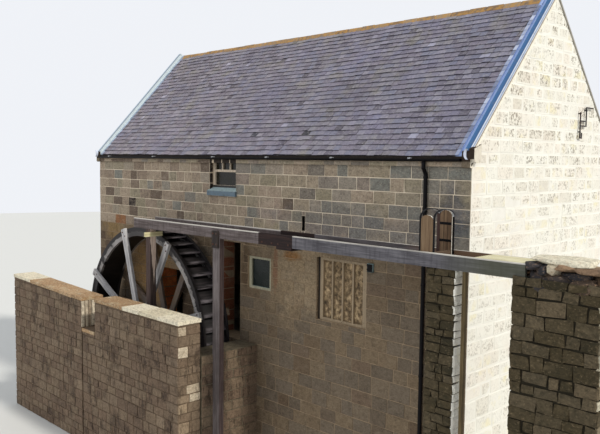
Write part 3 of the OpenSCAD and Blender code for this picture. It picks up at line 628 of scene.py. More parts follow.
def eaves_head(u):
    return WALL_HEAD


ODD_STONES = {(-12.45, 6.39): 0.0, (-11.98, 5.90): 1.0, (-11.41, 6.38): 0.0,
              (-8.45, 6.36): 0.0, (-6.6, 7.0): 0.0}
LEN = -HOUSE_LEFT


def plain_tone(u, z, pick):
    """Warm stones at the start of a wall, more grey ones towards its end."""
    return min(0.92, max(0.07, pick.gauss(0.28 + 0.36 * u / LEN, 0.2)))


def front_tone(u, z, pick):
    """The same with a few dark or orange stones."""
    for (x, level), tone in ODD_STONES.items():
        if 0 < u - (x + LEN) < 0.3 and z < level < z + 0.27:
            return tone
    return plain_tone(u, z, pick)


def shift(holes, by):
    return [(h[0] + by, h[1] + by, h[2], h[3]) for h in holes]


upper_walls, lower_walls, stained = Pile(11), Pile(14), Pile(15)
front = Side(at(HOUSE_LEFT, 0, 0), (1, 0, 0), (0, -1, 0))
storey = local_box("front_wall_upper")[0].z
meet = min(LEVELS, key=lambda z: abs(z - storey))
for pile, levels in ((lower_walls, [z for z in LEVELS if z <= meet]),
                     (upper_walls, [z for z in LEVELS if z >= meet])):
    lay(pile, front, LEN, levels, shift(HOLES + LINTELS, LEN), eaves_head, joint=0.017,
        tone=front_tone)
print("the storeys meet at", round(meet, 2), "m")

# %% [markdown]
# A lintel is one long stone, or two over the wide light. The sides of an opening, its
# reveals, are laid like a narrow wall that looks across the opening. The left reveals of the
# upper window and the wide light are near black: painted shade. Water from the wheel's iron
# has stained the shaft's left reveal orange, and that colour is made very bright: painted
# light in the deep reveal.

# %% Lintels and reveals
LINTEL_GAP, LINTEL_TONE = 0.006, 0.45


def lintel(pile, a, b, foot, head, y, way):
    """One lintel stone from a to b; way is -1 on the front and 1 on the back."""
    ends = (a + LINTEL_GAP, b - LINTEL_GAP)[::-way]
    head -= LINTEL_GAP + 0.001
    corners = [at(ends[0], y, foot), at(ends[1], y, foot), at(ends[1], y, head),
               at(ends[0], y, head)]
    stone(pile, corners, np.array((0, way, 0)), 0.013, tone=LINTEL_TONE)


for h in LINTELS:
    half = (h[0] + h[1]) / 2
    for a, b in ((h[0], half), (half, h[1])) if h[1] - h[0] > 1.5 else ((h[0], h[1]),):
        lintel(lower_walls, a, b, h[2], h[3], 0, -1)
# A left reveal takes the opening's tone; tone 0 here is painted shade in the reveal.
for h, deep, jamb in ((UPPER, 0.12, 0.0), (LOWER, 0.045, 0.5), (WIDE, 0.06, 0.0),
                      (DOORWAY, WALL_T, 1.0), (SHAFT, WALL_T, 0.5)):
    rows = [z for z in LEVELS if h[2] - 0.2 < z < h[3] + 0.2]
    outside = [(-1, 9, -1, h[2]), (-1, 9, min(h[3], WALL_HEAD), 99)]
    for x, way in ((h[0], 1), (h[1], -1)):
        pile = upper_walls if h is UPPER else lower_walls
        if h is SHAFT and way > 0:
            pile = stained
        reveal = Side(at(x, 0 if way < 0 else deep, 0), (0, -way, 0), (way, 0, 0))
        lay(pile, reveal, deep, rows, outside, proud=0.004,
            tone=lambda u, z, pick, first=way > 0, own=jamb:
            own if first else pick.uniform(0.3, 0.8))
# The stain's orange is made very bright: painted light in the shaft's deep reveal.
STAINED_AND_LIT_STONE = sandstone("iron stained stone with painted light",
                          ((0.0, (0.92, 0.48, 0.27)), (1.0, (0.98, 0.58, 0.33))),
                          (0.55, 0.28, 0.15))
upper_walls.build("upper_front_stones", "mill", "rubble", FRONT_STONE)
lower_walls.build("lower_front_stones", "mill", "rubble", LOWER_STONE)
stained.build("stained_jamb_stones", "mill", "rubble", STAINED_AND_LIT_STONE)

# %% [markdown]
# The photograph hides the back and the left gable. They are the same masons' work, so they
# repeat the front's stones, without its odd ones, and the back has two of its windows.

# %% The back and the left gable
def gable_head(v):
    """The foot of the verge stones over a gable, by the distance from the front."""
    return roof_z(v) + 0.048


walls = Pile(12)
back = Side(at(0, HOUSE_BACK, 0), (-1, 0, 0), (0, 1, 0))
BACK_HOLES = [[UPPER[0], UPPER[1], UPPER[2], 7.405], LOWER]
BACK_LINTELS = [(h[0] - 0.17, h[1] + 0.17, h[3], min(h[3] + 0.24, WALL_HEAD))
                for h in BACK_HOLES]
turned = [(-h[1], -h[0], h[2], h[3]) for h in BACK_HOLES + BACK_LINTELS]
lay(walls, back, LEN, LEVELS, turned, eaves_head, tone=plain_tone)
for h in BACK_LINTELS:
    lintel(walls, *h, HOUSE_BACK, 1)
left = Side(at(HOUSE_LEFT, HOUSE_BACK, 0), (0, -1, 0), (-1, 0, 0))
lay(walls, left, HOUSE_BACK, LEVELS, (), gable_head, tone=plain_tone)
walls.build("back_and_left_stones", "mill", "rubble", FRONT_STONE)

# %% [markdown]
# The gable's stones stand hardly proud of their joints, and the worn ring round each is wide:
# it is the margin that the finish leaves without specks.

# %% The right gable
walls = Pile(13)
gable = Side(at(0, 0, 0), (0, 1, 0), (1, 0, 0))
lay(walls, gable, HOUSE_BACK, LEVELS, (), gable_head, joint=0.013, proud=0.005, worn=0.035,
    tone=lambda u, z, pick: pick.uniform(0.12, 0.9), margin=1.0)
walls.build("gable_stones", "mill", "pale_stone", GABLE_STONE)

# %% [markdown]
# Between the walls' last course and the gutter lies the edge of the roof slab. On the real
# house this is masonry in deep shade. One row of stones covers its lower part, and a finish
# with hard steps in height paints the shade over it, with the upper window's bars carried on
# up to the gutter.

# %% Under the eaves
STRIP_FOOT, STRIP_TOP = 7.502, 7.601
SLAB_OUT = 0.07  # the slab's edge stands this far in front of the wall
NEARER = 0.09  # the slab's edge is nearer to the camera than the window, so bars shift right


def beyond(it, letter, middle, low, high):
    """0 near a middle line and 1 away from it."""
    return (it.axis(letter) - middle).math("ABSOLUTE").over(low, high)


def eaves_finish():
    """Mortar under the gutter, near black over the stones' rim, and the window's head."""
    it = Finish("edge of the eaves", Specular_IOR_Level=0.2, Roughness=0.9)
    wide = UPPER[1] - UPPER[0]
    middle = float(CORNER.x + (UPPER[0] + UPPER[1]) / 2) + NEARER
    window = 1.0 - beyond(it, "X", middle, wide / 2 - 0.01, wide / 2)
    shadow = it.axis("Z").over(7.60, 7.62).math("MAXIMUM", window)
    colour = it.patches((0.74, 0.66, 0.57), (0.60, 0.53, 0.45), 0.3, (0.4, 0.7))
    colour = it.mix(colour, (0.10, 0.085, 0.085), shadow * (it.noise(0.04) * 0.2 + 0.85))
    for share, half in ((0.13, 0.042), (0.47, 0.018), (0.765, 0.018)):
        bar = float(CORNER.x + UPPER[0] + share * wide) + NEARER
        below = 1.0 - it.axis("Z").over(7.592, 7.598)
        colour = it.mix(colour, (0.80, 0.73, 0.64),
                        beyond(it, "X", bar, half, half - 0.006) * below)
    return it.end(Base_Color=colour, Normal=it.bump(it.noise(0.02), 0.004, 0.5))


EAVES_STONE = eaves_finish()
strips = Pile(16)
window_gap = (UPPER[0] + LEN + NEARER, UPPER[1] + LEN + NEARER)
for start, along, out, gap in (
        (at(HOUSE_LEFT, -SLAB_OUT, 0), (1, 0, 0), (0, -1, 0), window_gap),
        (at(0, HOUSE_BACK + SLAB_OUT, 0), (-1, 0, 0), (0, 1, 0), (-UPPER[1], -UPPER[0]))):
    lay(strips, Side(start, along, out), LEN, [STRIP_FOOT, STRIP_TOP], [(*gap, 7.0, 8.0)],
        size=(0.3, 0.55), joint=0.017, proud=0.006, rough=0.002, tone=plain_tone)
strips.build("stones_under_the_eaves", "mill", "rubble", FRONT_STONE)

# %% [markdown]
# A roof slate is a thin slab that lies on the heads of the two courses below it, so its tail
# stands up a little. Old roofs sag between their battens: a slow wave in the height of each
# slate gives the courses their wander.

# %% The slates' finish
def slate_finish():
    """Purple grey slate by its tone, with lichen, damp and a bluer end towards the right."""
    it = Finish("purple grey slate", Specular_IOR_Level=0.4)
    colour = it.ramp(it.named("tone"), (0.0, (0.16, 0.15, 0.17)), (0.05, (0.18, 0.17, 0.19)),
                     (0.12, (0.34, 0.31, 0.34)), (0.2, (0.44, 0.41, 0.45)),
                     (0.4, (0.51, 0.47, 0.51)), (0.6, (0.48, 0.47, 0.53)),
                     (0.75, (0.53, 0.50, 0.52)), (0.92, (0.58, 0.55, 0.60)),
                     (1.0, (0.70, 0.68, 0.74)))
    blue = it.axis("X").over(float(CORNER.x) - 11.0, float(CORNER.x))
    colour = it.mix(colour, (0.93, 0.96, 1.0), blue, "MULTIPLY")
    for tint, size, band, share, detail, stretch in (
            ((0.54, 0.53, 0.66), 0.8, (0.52, 0.7), 0.35, 4.0, (1, 1, 1)),
            ((0.56, 0.54, 0.44), 0.6, (0.54, 0.7), 0.35, 4.0, (1.1, 1, 1)),
            ((0.68, 0.66, 0.66), 0.05, (0.52, 0.68), 0.45, 4.0, (1, 1, 1)),
            ((0.28, 0.26, 0.29), 0.06, (0.54, 0.7), 0.45, 4.0, (1, 1.1, 1)),
            ((0.33, 0.31, 0.34), 1.6, (0.5, 0.75), 0.4, 3.0, (1, 1, 1))):
        colour = it.patches(colour, tint, size, band, share, detail=detail, stretch=stretch)
    height = it.noise(0.02, stretch=(1, 0.3, 0.3))
    return it.end(Base_Color=colour, Roughness=it.noise(0.12) * 0.25 + 0.48,
                  Normal=it.bump(height, 0.004, 0.6))


SLATE = slate_finish()
dress(SLATE, "roof_front", "roof_back")
for node in ("roof_front", "roof_back"):
    mesh = NODES[node].data
    refinish(mesh, GABLE_MORTAR, lambda spot, normal: normal.x > 0.9)
    refinish(mesh, MORTAR, lambda spot, normal: normal.x < -0.9)
    refinish(mesh, EAVES_STONE,
             lambda spot, normal: abs(normal.x) <= 0.9 and normal.z < 0.3)
print("slate nodes:", len(SLATE.node_tree.nodes))

# %% [markdown]
# A slope takes some two and a half thousand slates. Each is only its upper face, its tail and
# its two sides, since nobody sees under it. The tail's face carries its own, darker tone,
# which draws the shadow line of every course.

# %% Slates
RAKE = math.hypot(1.0, SLOPE)
GAUGE, SLATE_W, VERGE = 0.152, 0.2, 0.315
UP_SLOPE = np.array((0, 1, SLOPE)) / RAKE
OFF_SLOPE = np.array((0, -SLOPE, 1)) / RAKE
EAVES_Z = EAVES_TOP + SLOPE * EAVES_EDGE.y
BROKEN = ((-6.41, 0.33), (-4.70, 0.33))
SLATE_FACES = [(1, 3, 7, 5), (0, 2, 3, 1), (0, 1, 5, 4), (2, 6, 7, 3)]


def sag(x, s):
    """How far the old roof has sunk or risen here, in metres."""
    return (0.007 * math.sin(0.9 * x + 1.3 * s)
            + 0.005 * math.sin(2.3 * x - 0.8 * s + 1.0))


def on_roof(x, along, above):
    """A place from its way up the slope and its height above the slope."""
    return np.array((x, EAVES_EDGE.y, EAVES_Z)) + UP_SLOPE * along + OFF_SLOPE * above


def slate(pile, a, b, row, flip):
    """One slate from a to b; a broken one is dark."""
    pick = pile.random.uniform
    s0 = row * GAUGE + pick(-0.010, 0.010) + 0.6 * sag(a, row * GAUGE)
    lift = 0.018 + sag(a, s0) * 0.6 + pick(-0.003, 0.008)
    points = []
    for along, height in ((s0, lift), (s0 + GAUGE + 0.03, 0.004 + sag(a, s0) * 0.5)):
        for side in (a, b):
            for thick in (0.0, 0.012 if along == s0 else 0.008):
                tilt = pick(-0.0015, 0.0015)
                points.append(on_roof(side, along + tilt, max(height + thick + tilt, 0.002)))
    chance = pile.random.random()
    tone = 0.97 if chance < 0.004 else 0.12 if chance < 0.015 else pick(0.16, 0.9)
    faces = SLATE_FACES
    if flip:
        points = [(p[0], HOUSE_BACK - p[1], p[2]) for p in points]
        faces = [face[::-1] for face in faces]
    elif any(abs((a + b) / 2 - x) < 0.11 and abs(EAVES_EDGE.y + s0 / RAKE - y) < 0.06
             for x, y in BROKEN):
        tone = 0.0
    # The tail's dark tone is a painted shadow line, and the sides' darker tone painted shade.
    pile.add([at(*p) for p in points], faces, [tone, pick(0.0, 0.14), tone * 0.4, tone * 0.4])


def slates(name, flip, seed):
    """One slope of slates; flip puts it on the back of the house."""
    pile = Pile(seed)
    run = (HOUSE_BACK / 2 - EAVES_EDGE.y) * RAKE - 0.12
    for row in range(int(run / GAUGE)):
        x = HOUSE_LEFT + VERGE - (SLATE_W / 2 if row % 2 else 0.0)
        while x < -VERGE:
            wide = SLATE_W + pile.random.uniform(-0.035, 0.035)
            a, b = max(x, HOUSE_LEFT + VERGE), min(x + wide - 0.007, -VERGE)
            x += wide
            if b - a >= 0.03:
                slate(pile, a, b, row, flip)
    return pile.build(name, "mill", "slate", SLATE)


slates("front_slates", False, 21)
slates("back_slates", True, 22)

# %% [markdown]
# The ridge is a row of bent stones bedded over the heads of the two slopes. Each is a short
# length of one cross-section with worn ends, and lichen has turned their crest ochre. The
# row stands in for the plain ridge of the CAD model.

# %% Ridge stones
def ridge_finish():
    """Brown stone with ochre and dark lichen."""
    it = Finish("ridge stone with lichen", Specular_IOR_Level=0.2)
    colour = it.ramp(it.named("tone"), (0.0, (0.46, 0.39, 0.33)), (1.0, (0.62, 0.55, 0.47)))
    colour = it.patches(colour, (0.74, 0.56, 0.30), 0.11, (0.40, 0.58), 0.75, detail=5.0)
    colour = it.patches(colour, (0.36, 0.30, 0.27), 0.05, (0.6, 0.75), 0.7)
    return it.end(Base_Color=colour, Roughness=it.noise(0.05) * 0.2 + 0.78,
                  Normal=it.bump(it.noise(0.02, 5.0, 0.7), 0.01, 0.8))


def ridge_stones():
    """Bent stones end to end, over the whole ridge."""
    pile = Pile(31)
    pick = pile.random.uniform
    low, high = local_box("ridge")
    half, rise = 0.85 * (high.y - low.y) / 2, 0.8 * (high.z - RIDGE_TOP)
    mid = HOUSE_BACK / 2
    x = low.x
    while x < high.x - 0.1:
        long = min(pick(0.4, 0.52), high.x - x)
        sink = pick(0.0, 0.012)
        rows = []
        for along, worn in ((0.003, 0.012), (0.02, 0.0), (long - 0.02, 0.0), (long - 0.003, 0.012)):
            top = rise - worn - sink
            section = [(-half, 0.0), (-half + worn, top * 0.55),
                       (-half * 0.55, top * 0.86 - pick(0, 0.005)), (-0.03, top - 0.006),
                       (0.03, top - 0.006), (half * 0.55, top * 0.86 - pick(0, 0.005)),
                       (half - worn, top * 0.55), (half, 0.0)]
            rows.append([at(x + along, mid + y, roof_z(mid + y) + z) for y, z in section])
        n = len(rows[0])
        faces = [(r * n + i, (r + 1) * n + i, (r + 1) * n + i + 1, r * n + i + 1)[::-1]
                 for r in range(3) for i in range(n - 1)]
        faces += [tuple(range(n))[::-1], tuple(3 * n + i for i in range(n))]
        pile.add([p for row in rows for p in row], faces)
        x += long
    made = pile.build("ridge_stones", "mill", "ridge_stone", ridge_finish())
    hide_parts("ridge")


ridge_stones()

# %% [markdown]
# Along each gable the roof ends in a verge: a raised strip over the wall's head, a lined
# channel beside it and lead soakers that step up with the slates. Modelling every strip
# would take thin slivers, so one finish paints them, with its colour chosen by the distance
# from the outer edge.

# %% The verges
RIGHT_OUT, LEFT_OUT = 0.09, 0.025  # how far the verges stand out over the gables


def verge_finish(name, outer, way, stops):
    """Strips side by side: 0 at the outer edge of the verge, 1 at the slates."""
    it = Finish(name, Specular_IOR_Level=0.4)
    width = VERGE + (RIGHT_OUT if way < 0 else LEFT_OUT)
    across = (it.axis("X") - outer) * (way / width) + it.noise(0.05) * 0.012 - 0.006
    colour = it.ramp(across, *stops)
    colour = it.patches(colour, (0.45, 0.44, 0.42), 0.07, (0.52, 0.75), 0.45, detail=5.0)
    return it.end(Base_Color=colour, Roughness=it.noise(0.1) * 0.3 + 0.42,
                  Normal=it.bump(it.noise(0.03), 0.004, 0.5))


right_edge, left_edge = CORNER.x + RIGHT_OUT, CORNER.x + HOUSE_LEFT - LEFT_OUT
WHITE, DEEP, PALE_BLUE = (0.86, 0.88, 0.92), (0.17, 0.33, 0.51), (0.62, 0.68, 0.78)
# The brown stops from 0.07 to 0.10 are a painted shadow line along the outer edge.
RIGHT_VERGE = verge_finish("painted right verge", right_edge, -1, (
    (0.0, (0.96, 0.93, 0.86)), (0.05, (0.92, 0.88, 0.80)), (0.07, (0.52, 0.44, 0.36)),
    (0.10, (0.60, 0.54, 0.46)), (0.12, WHITE), (0.14, WHITE), (0.15, PALE_BLUE),
    (0.21, PALE_BLUE), (0.23, WHITE), (0.27, WHITE), (0.29, DEEP), (0.56, (0.22, 0.42, 0.62)),
    (0.59, (0.64, 0.74, 0.92)), (0.88, (0.63, 0.71, 0.89)), (1.0, (0.50, 0.56, 0.70))))
LEFT_VERGE = verge_finish("painted left verge", left_edge, 1, (
    (0.0, (0.76, 0.82, 0.88)), (0.14, (0.66, 0.72, 0.78)), (0.22, (0.48, 0.52, 0.56)),
    (0.34, (0.50, 0.54, 0.58)), (0.40, (0.80, 0.84, 0.86)), (0.52, (0.78, 0.82, 0.84)),
    (0.66, (0.50, 0.54, 0.60)), (1.0, (0.60, 0.66, 0.74))))
VERGE_EDGE = verge_finish("weathered verge edge", right_edge, -1, (
    (0.0, (0.62, 0.60, 0.56)), (1.0, (0.52, 0.50, 0.46))))
dress(RIGHT_VERGE, "right_verge")
dress(LEFT_VERGE, "left_verge")


def on_verge_edge(spot, normal):
    """The outer edge of the right verge, and its ends behind the ridge."""
    behind = spot.y > CORNER.y + HOUSE_BACK / 2 and normal.z < 0.5
    return behind or normal.x > 0.9 and spot.x > CORNER.x


refinish(NODES["right_verge"].data, VERGE_EDGE, on_verge_edge)
print("verges dressed")

# %% [markdown]
# Soakers are lead sheets folded in between slates and verge, one for each course. They are
# thin blocks here. A list of eight corners is easy to get inside out, so `solid` turns each
# face to look away from the middle.

# %% Lead soakers
def solid(pile, points, faces, tone=None):
    """A convex solid whose faces are turned to look outwards before it joins its pile."""
    points = np.asarray(points, float)
    middle = points.mean(0)
    turned = []
    for face in faces:
        a, b, c = (points[i] for i in face[:3])
        looks = np.dot(np.cross(b - a, c - b), points[list(face)].mean(0) - middle)
        turned.append(face if looks > 0 else face[::-1])
    pile.add(points, turned, tone)


BLOCK_FACES = [(0, 1, 3, 2), (4, 5, 7, 6), (0, 1, 5, 4), (2, 3, 7, 6), (0, 2, 6, 4), (1, 3, 7, 5)]


def lead(name, shine, stops, rough):
    """Old sheet lead."""
    it = Finish(name, Specular_IOR_Level=shine)
    return it.end(Base_Color=it.ramp(it.named("tone"), *stops),
                  Roughness=it.noise(0.06) * 0.3 + rough,
                  Normal=it.bump(it.noise(0.04, 3.0), 0.006, 0.6))


def soakers(name, x0, x1, seed, material):
    """A strip of lead sheets beside each gable's slates."""
    pile = Pile(seed)
    pick = pile.random.uniform
    rows = int((HOUSE_BACK / 2 - EAVES_EDGE.y) * RAKE / GAUGE) - 1
    for flip in (False, True):
        for row in range(rows):
            s = row * GAUGE + pick(-0.01, 0.01)
            points = []
            for along, height in ((s, 0.034), (s + GAUGE + 0.02, 0.024)):
                for x in (x0 + pick(-0.004, 0.004), x1 + pick(-0.004, 0.004)):
                    for thick in (0.0, 0.004):
                        p = on_roof(x, along, height + thick + pick(-0.002, 0.002))
                        points.append(at(p[0], HOUSE_BACK - p[1] if flip else p[1], p[2]))
            solid(pile, points, BLOCK_FACES)
    pile.build(name, "mill", "slate", material)


LEAD = lead("old lead", 0.5, (
    (0.0, (0.42, 0.45, 0.55)), (0.6, (0.60, 0.64, 0.75)), (1.0, (0.80, 0.83, 0.90))), 0.35)
SOAKER_W = 0.075
soakers("right_soakers", -VERGE, -VERGE + SOAKER_W, 33, LEAD)

# %% [markdown]
# The lead nosing of the right verge sails past the gable. The CAD verge stops short of it, so
# two thin strips, one under the other, follow the slope in four lengths.

# %% The nosing of the right verge
nosing = Pile(36)
verge_top = local_box("right_verge")[1].z
steps = np.linspace(-0.08, HOUSE_BACK / 2, 5)
for x0, x1, drop, thick in ((0.02, 0.088, 0.002, 0.05), (0.02, 0.07, 0.05, 0.03)):
    for y0, y1 in zip(steps[:-1], steps[1:]):
        solid(nosing, [at(x, y, verge_top - SLOPE * (HOUSE_BACK / 2 - y) - drop - down)
                       for x in (x0, x1) for y in (y0, y1 - 0.004)
                       for down in (0.0, thick)], BLOCK_FACES)
nosing.build("verge_nosing", "mill", "slate", RIGHT_VERGE)

# %% [markdown]
# The left verge has soakers too. Their lead is as old, but it never sees the evening sun and
# has stayed dull.

# %% The left soakers
DULL_LEAD = lead("dull lead", 0.4, (
    (0.0, (0.46, 0.52, 0.60)), (1.0, (0.72, 0.78, 0.86))), 0.5)
soakers("left_soakers", HOUSE_LEFT + VERGE - SOAKER_W, HOUSE_LEFT + VERGE, 34, DULL_LEAD)

# %% [markdown]
# Grain is noise pulled long in one direction, and the checks in weathered wood are the same
# noise, pulled longer and cut off sharply. An image of planks could not follow posts, boards
# and troughs of so many sizes, so one function makes every timber of this mill.

# %% A function for wood
LONG = {"x": (0.06, 1, 1), "y": (1, 0.06, 1), "z": (1, 1, 0.06)}


def grain_of(it, stretch, dark, mid, light, size=0.045, top=0.74, place=None):
    """Long noise, and the colour of timber drawn from it."""
    grain = it.noise(size, 5.0, 0.65, stretch, place)
    return grain, it.ramp(grain, (0.28, dark), (0.5, mid), (top, light))


def wood(name, dark, mid, light, along="x", boards=None, streaks=0.5, edge=None, drips=0.0,
         tail=None):
    """Weathered timber.

    boards=(letter, pitch, shift) parts it; edge and tail=(letter, start, colour) tint it from
    a place on, edge sharply and tail slowly."""
    it = Finish(name, Specular_IOR_Level=0.25)
    stretch = LONG[along]
    grain, colour = grain_of(it, stretch, dark, mid, light)
    longer = tuple(0.4 * s if s < 1 else s for s in stretch)
    checks = it.noise(0.012, 3.0, 0.6, longer).over(0.62, 0.7)
    colour = it.mix(colour, shade(dark, 0.45), checks * 0.8)
    colour = it.patches(colour, dark, 0.5, (0.48, 0.72), streaks)
    if drips:
        colour = it.patches(colour, dark, 0.07, (0.5, 0.7), drips, stretch=(1, 1, 0.12))
    if tail:
        letter, start, tint = tail
        colour = it.mix(colour, tint, it.axis(letter).over(start, start + 1.0) * 0.6)
    height = grain * 0.6 - checks * 0.5
    if boards:
        letter, pitch, start = boards
        spot = ((it.axis(letter) - start) / pitch).math("FRACT") - 0.5
        gap = spot.math("ABSOLUTE").over(0.5 - 0.005 / pitch, 0.5 - 0.002 / pitch)
        colour = it.mix(colour, (0.03, 0.025, 0.02), gap)
        height = height - gap
    # edge paints sunlight: a pale band from a height on, broken by noise.
    if edge:
        letter, start, pale = edge
        lit = it.axis(letter).over(start - 0.002, start + 0.002)
        worn = it.noise(0.2, 3.0, stretch=stretch).over(0.3, 0.5)
        colour = it.mix(colour, pale, lit * worn)
    return it.end(Base_Color=colour, Roughness=grain * 0.2 + 0.68,
                  Normal=it.bump(height, 0.006, 0.7))


# Pale wood that is painted sunlight, for edges that face the lamp.
SUNLIT_EDGE_WOOD = wood("painted sunlit board edge", (0.62, 0.58, 0.54), (0.84, 0.82, 0.78), (0.95, 0.94, 0.92))
print("wood nodes:", len(SUNLIT_EDGE_WOOD.node_tree.nodes))

# %% [markdown]
# Iron rusts in blooms, paint chips in flakes, and stone that isn't laid in courses is mottled
# all over. What the three share is a second colour that comes through in patches; what tells
# them apart is how sharp the patches are and how they shine.

# %% Functions for iron, paint and plain stone
def iron(name, base, rust, share=0.5, rough=0.5, shine=0.5):
    """Painted or bare iron with blooms of rust."""
    it = Finish(name, Specular_IOR_Level=shine)
    bloom = it.noise(0.06, 5.0).over(0.62 - 0.25 * share, 0.78 - 0.2 * share)
    colour = it.mix(it.mix(base, shade(base, 1.5), it.noise(0.3)), rust, bloom)
    return it.end(Base_Color=colour, Roughness=bloom * 0.35 + rough, Metallic=0.15,
                  Normal=it.bump(it.noise(0.012), 0.002, 0.7))


def paint(name, colour, worn, along="z", low=None):
    """Old oil paint with streaks; low=(letter, from, colour) tints all under one coordinate."""
    it = Finish(name, Specular_IOR_Level=0.4)
    streak = it.noise(0.05, 4.0, 0.6, LONG[along])
    tint = it.mix(colour, shade(colour, 0.82), streak.over(0.35, 0.7))
    chips = it.noise(0.03, 5.0).over(0.6, 0.68)
    tint = it.mix(tint, worn, chips * 0.8)
    if low:
        letter, start, dark = low
        tint = it.mix(dark, tint, it.axis(letter).over(start - 0.004, start + 0.004))
    return it.end(Base_Color=tint, Roughness=chips * 0.3 + 0.5,
                  Normal=it.bump(streak - chips, 0.002, 0.6))


def stone_end(it, tint, grain=0.02):
    """Ends a finish with the roughness and the grain of plain stone."""
    return it.end(Base_Color=tint, Roughness=it.noise(0.06) * 0.15 + 0.8,
                  Normal=it.bump(it.noise(grain, 5.0, 0.7), 0.01, 0.7))


def plain_stone(name, colour, dark):
    """Mottled stone without courses."""
    it = Finish(name, Specular_IOR_Level=0.2)
    tint = it.patches(colour, dark, 0.12, (0.42, 0.75), detail=5.0)
    tint = it.patches(tint, shade(colour, 1.15), 0.04, (0.6, 0.8), 0.6, detail=3.0)
    return stone_end(it, tint)


def second_finish(nodes, material, choose):
    """Another finish for those faces of CAD nodes that choose(centre, normal) picks."""
    for node in nodes:
        refinish(NODES[node].data, material, choose)


dress(plain_stone("lintel stone", (0.52, 0.48, 0.40), (0.34, 0.31, 0.27)),
      "doorway_lintel", "shaft_lintel")
print("lintels dressed")

# %% [markdown]
# A kneeler is the stone at the foot of a verge that keeps it from sliding off. The one at the
# front right catches the sun on its side and lies in shade in front, so it takes two
# finishes, and a nose and a corbel of its own.

# %% The kneelers
NOSE_STEP = 7.655  # the corbel's head and the nose's foot


def kneeler_finish():
    """Brown stone, with painted shade above the line of the gutter."""
    it = Finish("kneeler stone", Specular_IOR_Level=0.2)
    # painted shade above the gutter line
    tint = it.mix((0.50, 0.45, 0.38), (0.20, 0.16, 0.13), it.axis("Z").over(7.59, 7.62))
    return stone_end(it, it.patches(tint, (0.24, 0.20, 0.17), 0.09, (0.45, 0.7), 0.7, detail=5.0))


KNEELER = kneeler_finish()
SUNLIT = plain_stone("sunlit kneeler", (0.86, 0.83, 0.77), (0.70, 0.66, 0.60))
dress(KNEELER, "kneelers")
second_finish(("kneelers",), SUNLIT,
              lambda spot, normal: normal.x > 0.9 and spot.x > CORNER.x - 0.2)
nose = Pile(37)
for x0, y0, y1, z0, z1, rise in ((-0.005, -0.105, 0.13, NOSE_STEP, 7.845, 0.08),
                                 (0.045, -0.09, 0.10, 7.60, NOSE_STEP, 0.0)):
    solid(nose, [at(x, y, z) for x in (x0, 0.108) for y in (y0, y1)
                 for z in (z0, z1 + (rise if y > 0 else 0.0))], BLOCK_FACES, 0.5)
made = nose.build("kneeler_nose", "mill", "rubble", KNEELER)
refinish(made.data, SUNLIT,
         lambda spot, normal: normal.x > 0.9 or spot.z < NOSE_STEP + 0.001)

# %% [markdown]
# Half-round gutters and downpipes are cast iron under black paint. The gutter hangs on
# brackets whose ends show as pale clips on its rim.

# %% Rainwater goods
BLACK = iron("black painted iron", (0.025, 0.02, 0.03), (0.10, 0.07, 0.06), 0.2, 0.5, 0.16)
dress(BLACK, "gutters", "downpipes", "pipe_brackets")


def bevelled(pile, low, high, bevel=0.004, tone=None):
    """A block whose edges are cut off, from its lowest and highest corner."""
    low, high = np.asarray(low, float), np.asarray(high, float)
    middle, half = (low + high) / 2, (high - low) / 2
    bevel = min(bevel, 0.4 * min(half))
    signs = [(a, b, c) for a in (-1, 1) for b in (-1, 1) for c in (-1, 1)]
    points = []
    for sign in signs:
        for flat in range(3):
            inset = np.full(3, bevel)
            inset[flat] = 0.0
            points.append(middle + np.array(sign) * (half - inset))
    index = {(sign, flat): 3 * i + flat for i, sign in enumerate(signs) for flat in range(3)}
    faces = [tuple(index[sign, flat] for flat in range(3)) for sign in signs]
    for flat in range(3):
        u, v = (k for k in range(3) if k != flat)
        for end in (-1, 1):
            ring = [s for s in signs if s[flat] == end]
            ring.sort(key=lambda s: math.atan2(s[v], s[u]))
            faces.append(tuple(index[s, flat] for s in ring))
        for a in (-1, 1):
            for b in (-1, 1):
                one, two = (s for s in signs if s[u] == a and s[v] == b)
                faces.append((index[one, u], index[one, v], index[two, v], index[two, u]))
    solid(pile, points, faces, tone)


low, high = local_box("gutters")
clips = Pile(35)
for x in (-12.6, -10.2, -7.49, -5.44, -3.36, -1.3):
    for rim, way in ((low.y, 1), (high.y, -1)):
        for half, reach, foot, head in ((0.03, 0.02, -0.012, 0.02), (0.015, 0.1, 0.004, 0.014)):
            ends = sorted((rim, rim + way * reach))
            bevelled(clips, at(x - half, ends[0], high.z + foot),
                     at(x + half, ends[1], high.z + head))
GALVANISED = paint("galvanised clips", (0.72, 0.73, 0.75), (0.45, 0.45, 0.46))
clips.build("gutter_clips", "mill", "black_iron", GALVANISED)

# %% [markdown]
# The windows are painted joinery that has lost its gloss. Where the photograph shows their
# paint dark, `low` gives each such part a darker colour under one height or left of one line:
# on the wide light that colour is painted shade from its reveal, while the upper window and
# the wall box are only darker towards the bottom.

# %% Windows and small ironwork
frame_foot = local_box("upper_window")[0].z
dress(paint("tan window paint", (0.85, 0.78, 0.69), (0.58, 0.51, 0.43),
            low=("Z", frame_foot + 0.055, (0.09, 0.08, 0.07))), "upper_window")
dress(paint("stone coloured paint", (0.72, 0.70, 0.60), (0.50, 0.46, 0.38)),
      "lower_window", "back_windows")
second_finish(("lower_window",),
              paint("pale green paint", (0.68, 0.78, 0.76), (0.50, 0.52, 0.48)),
              lambda spot, normal: normal.z > 0.9)
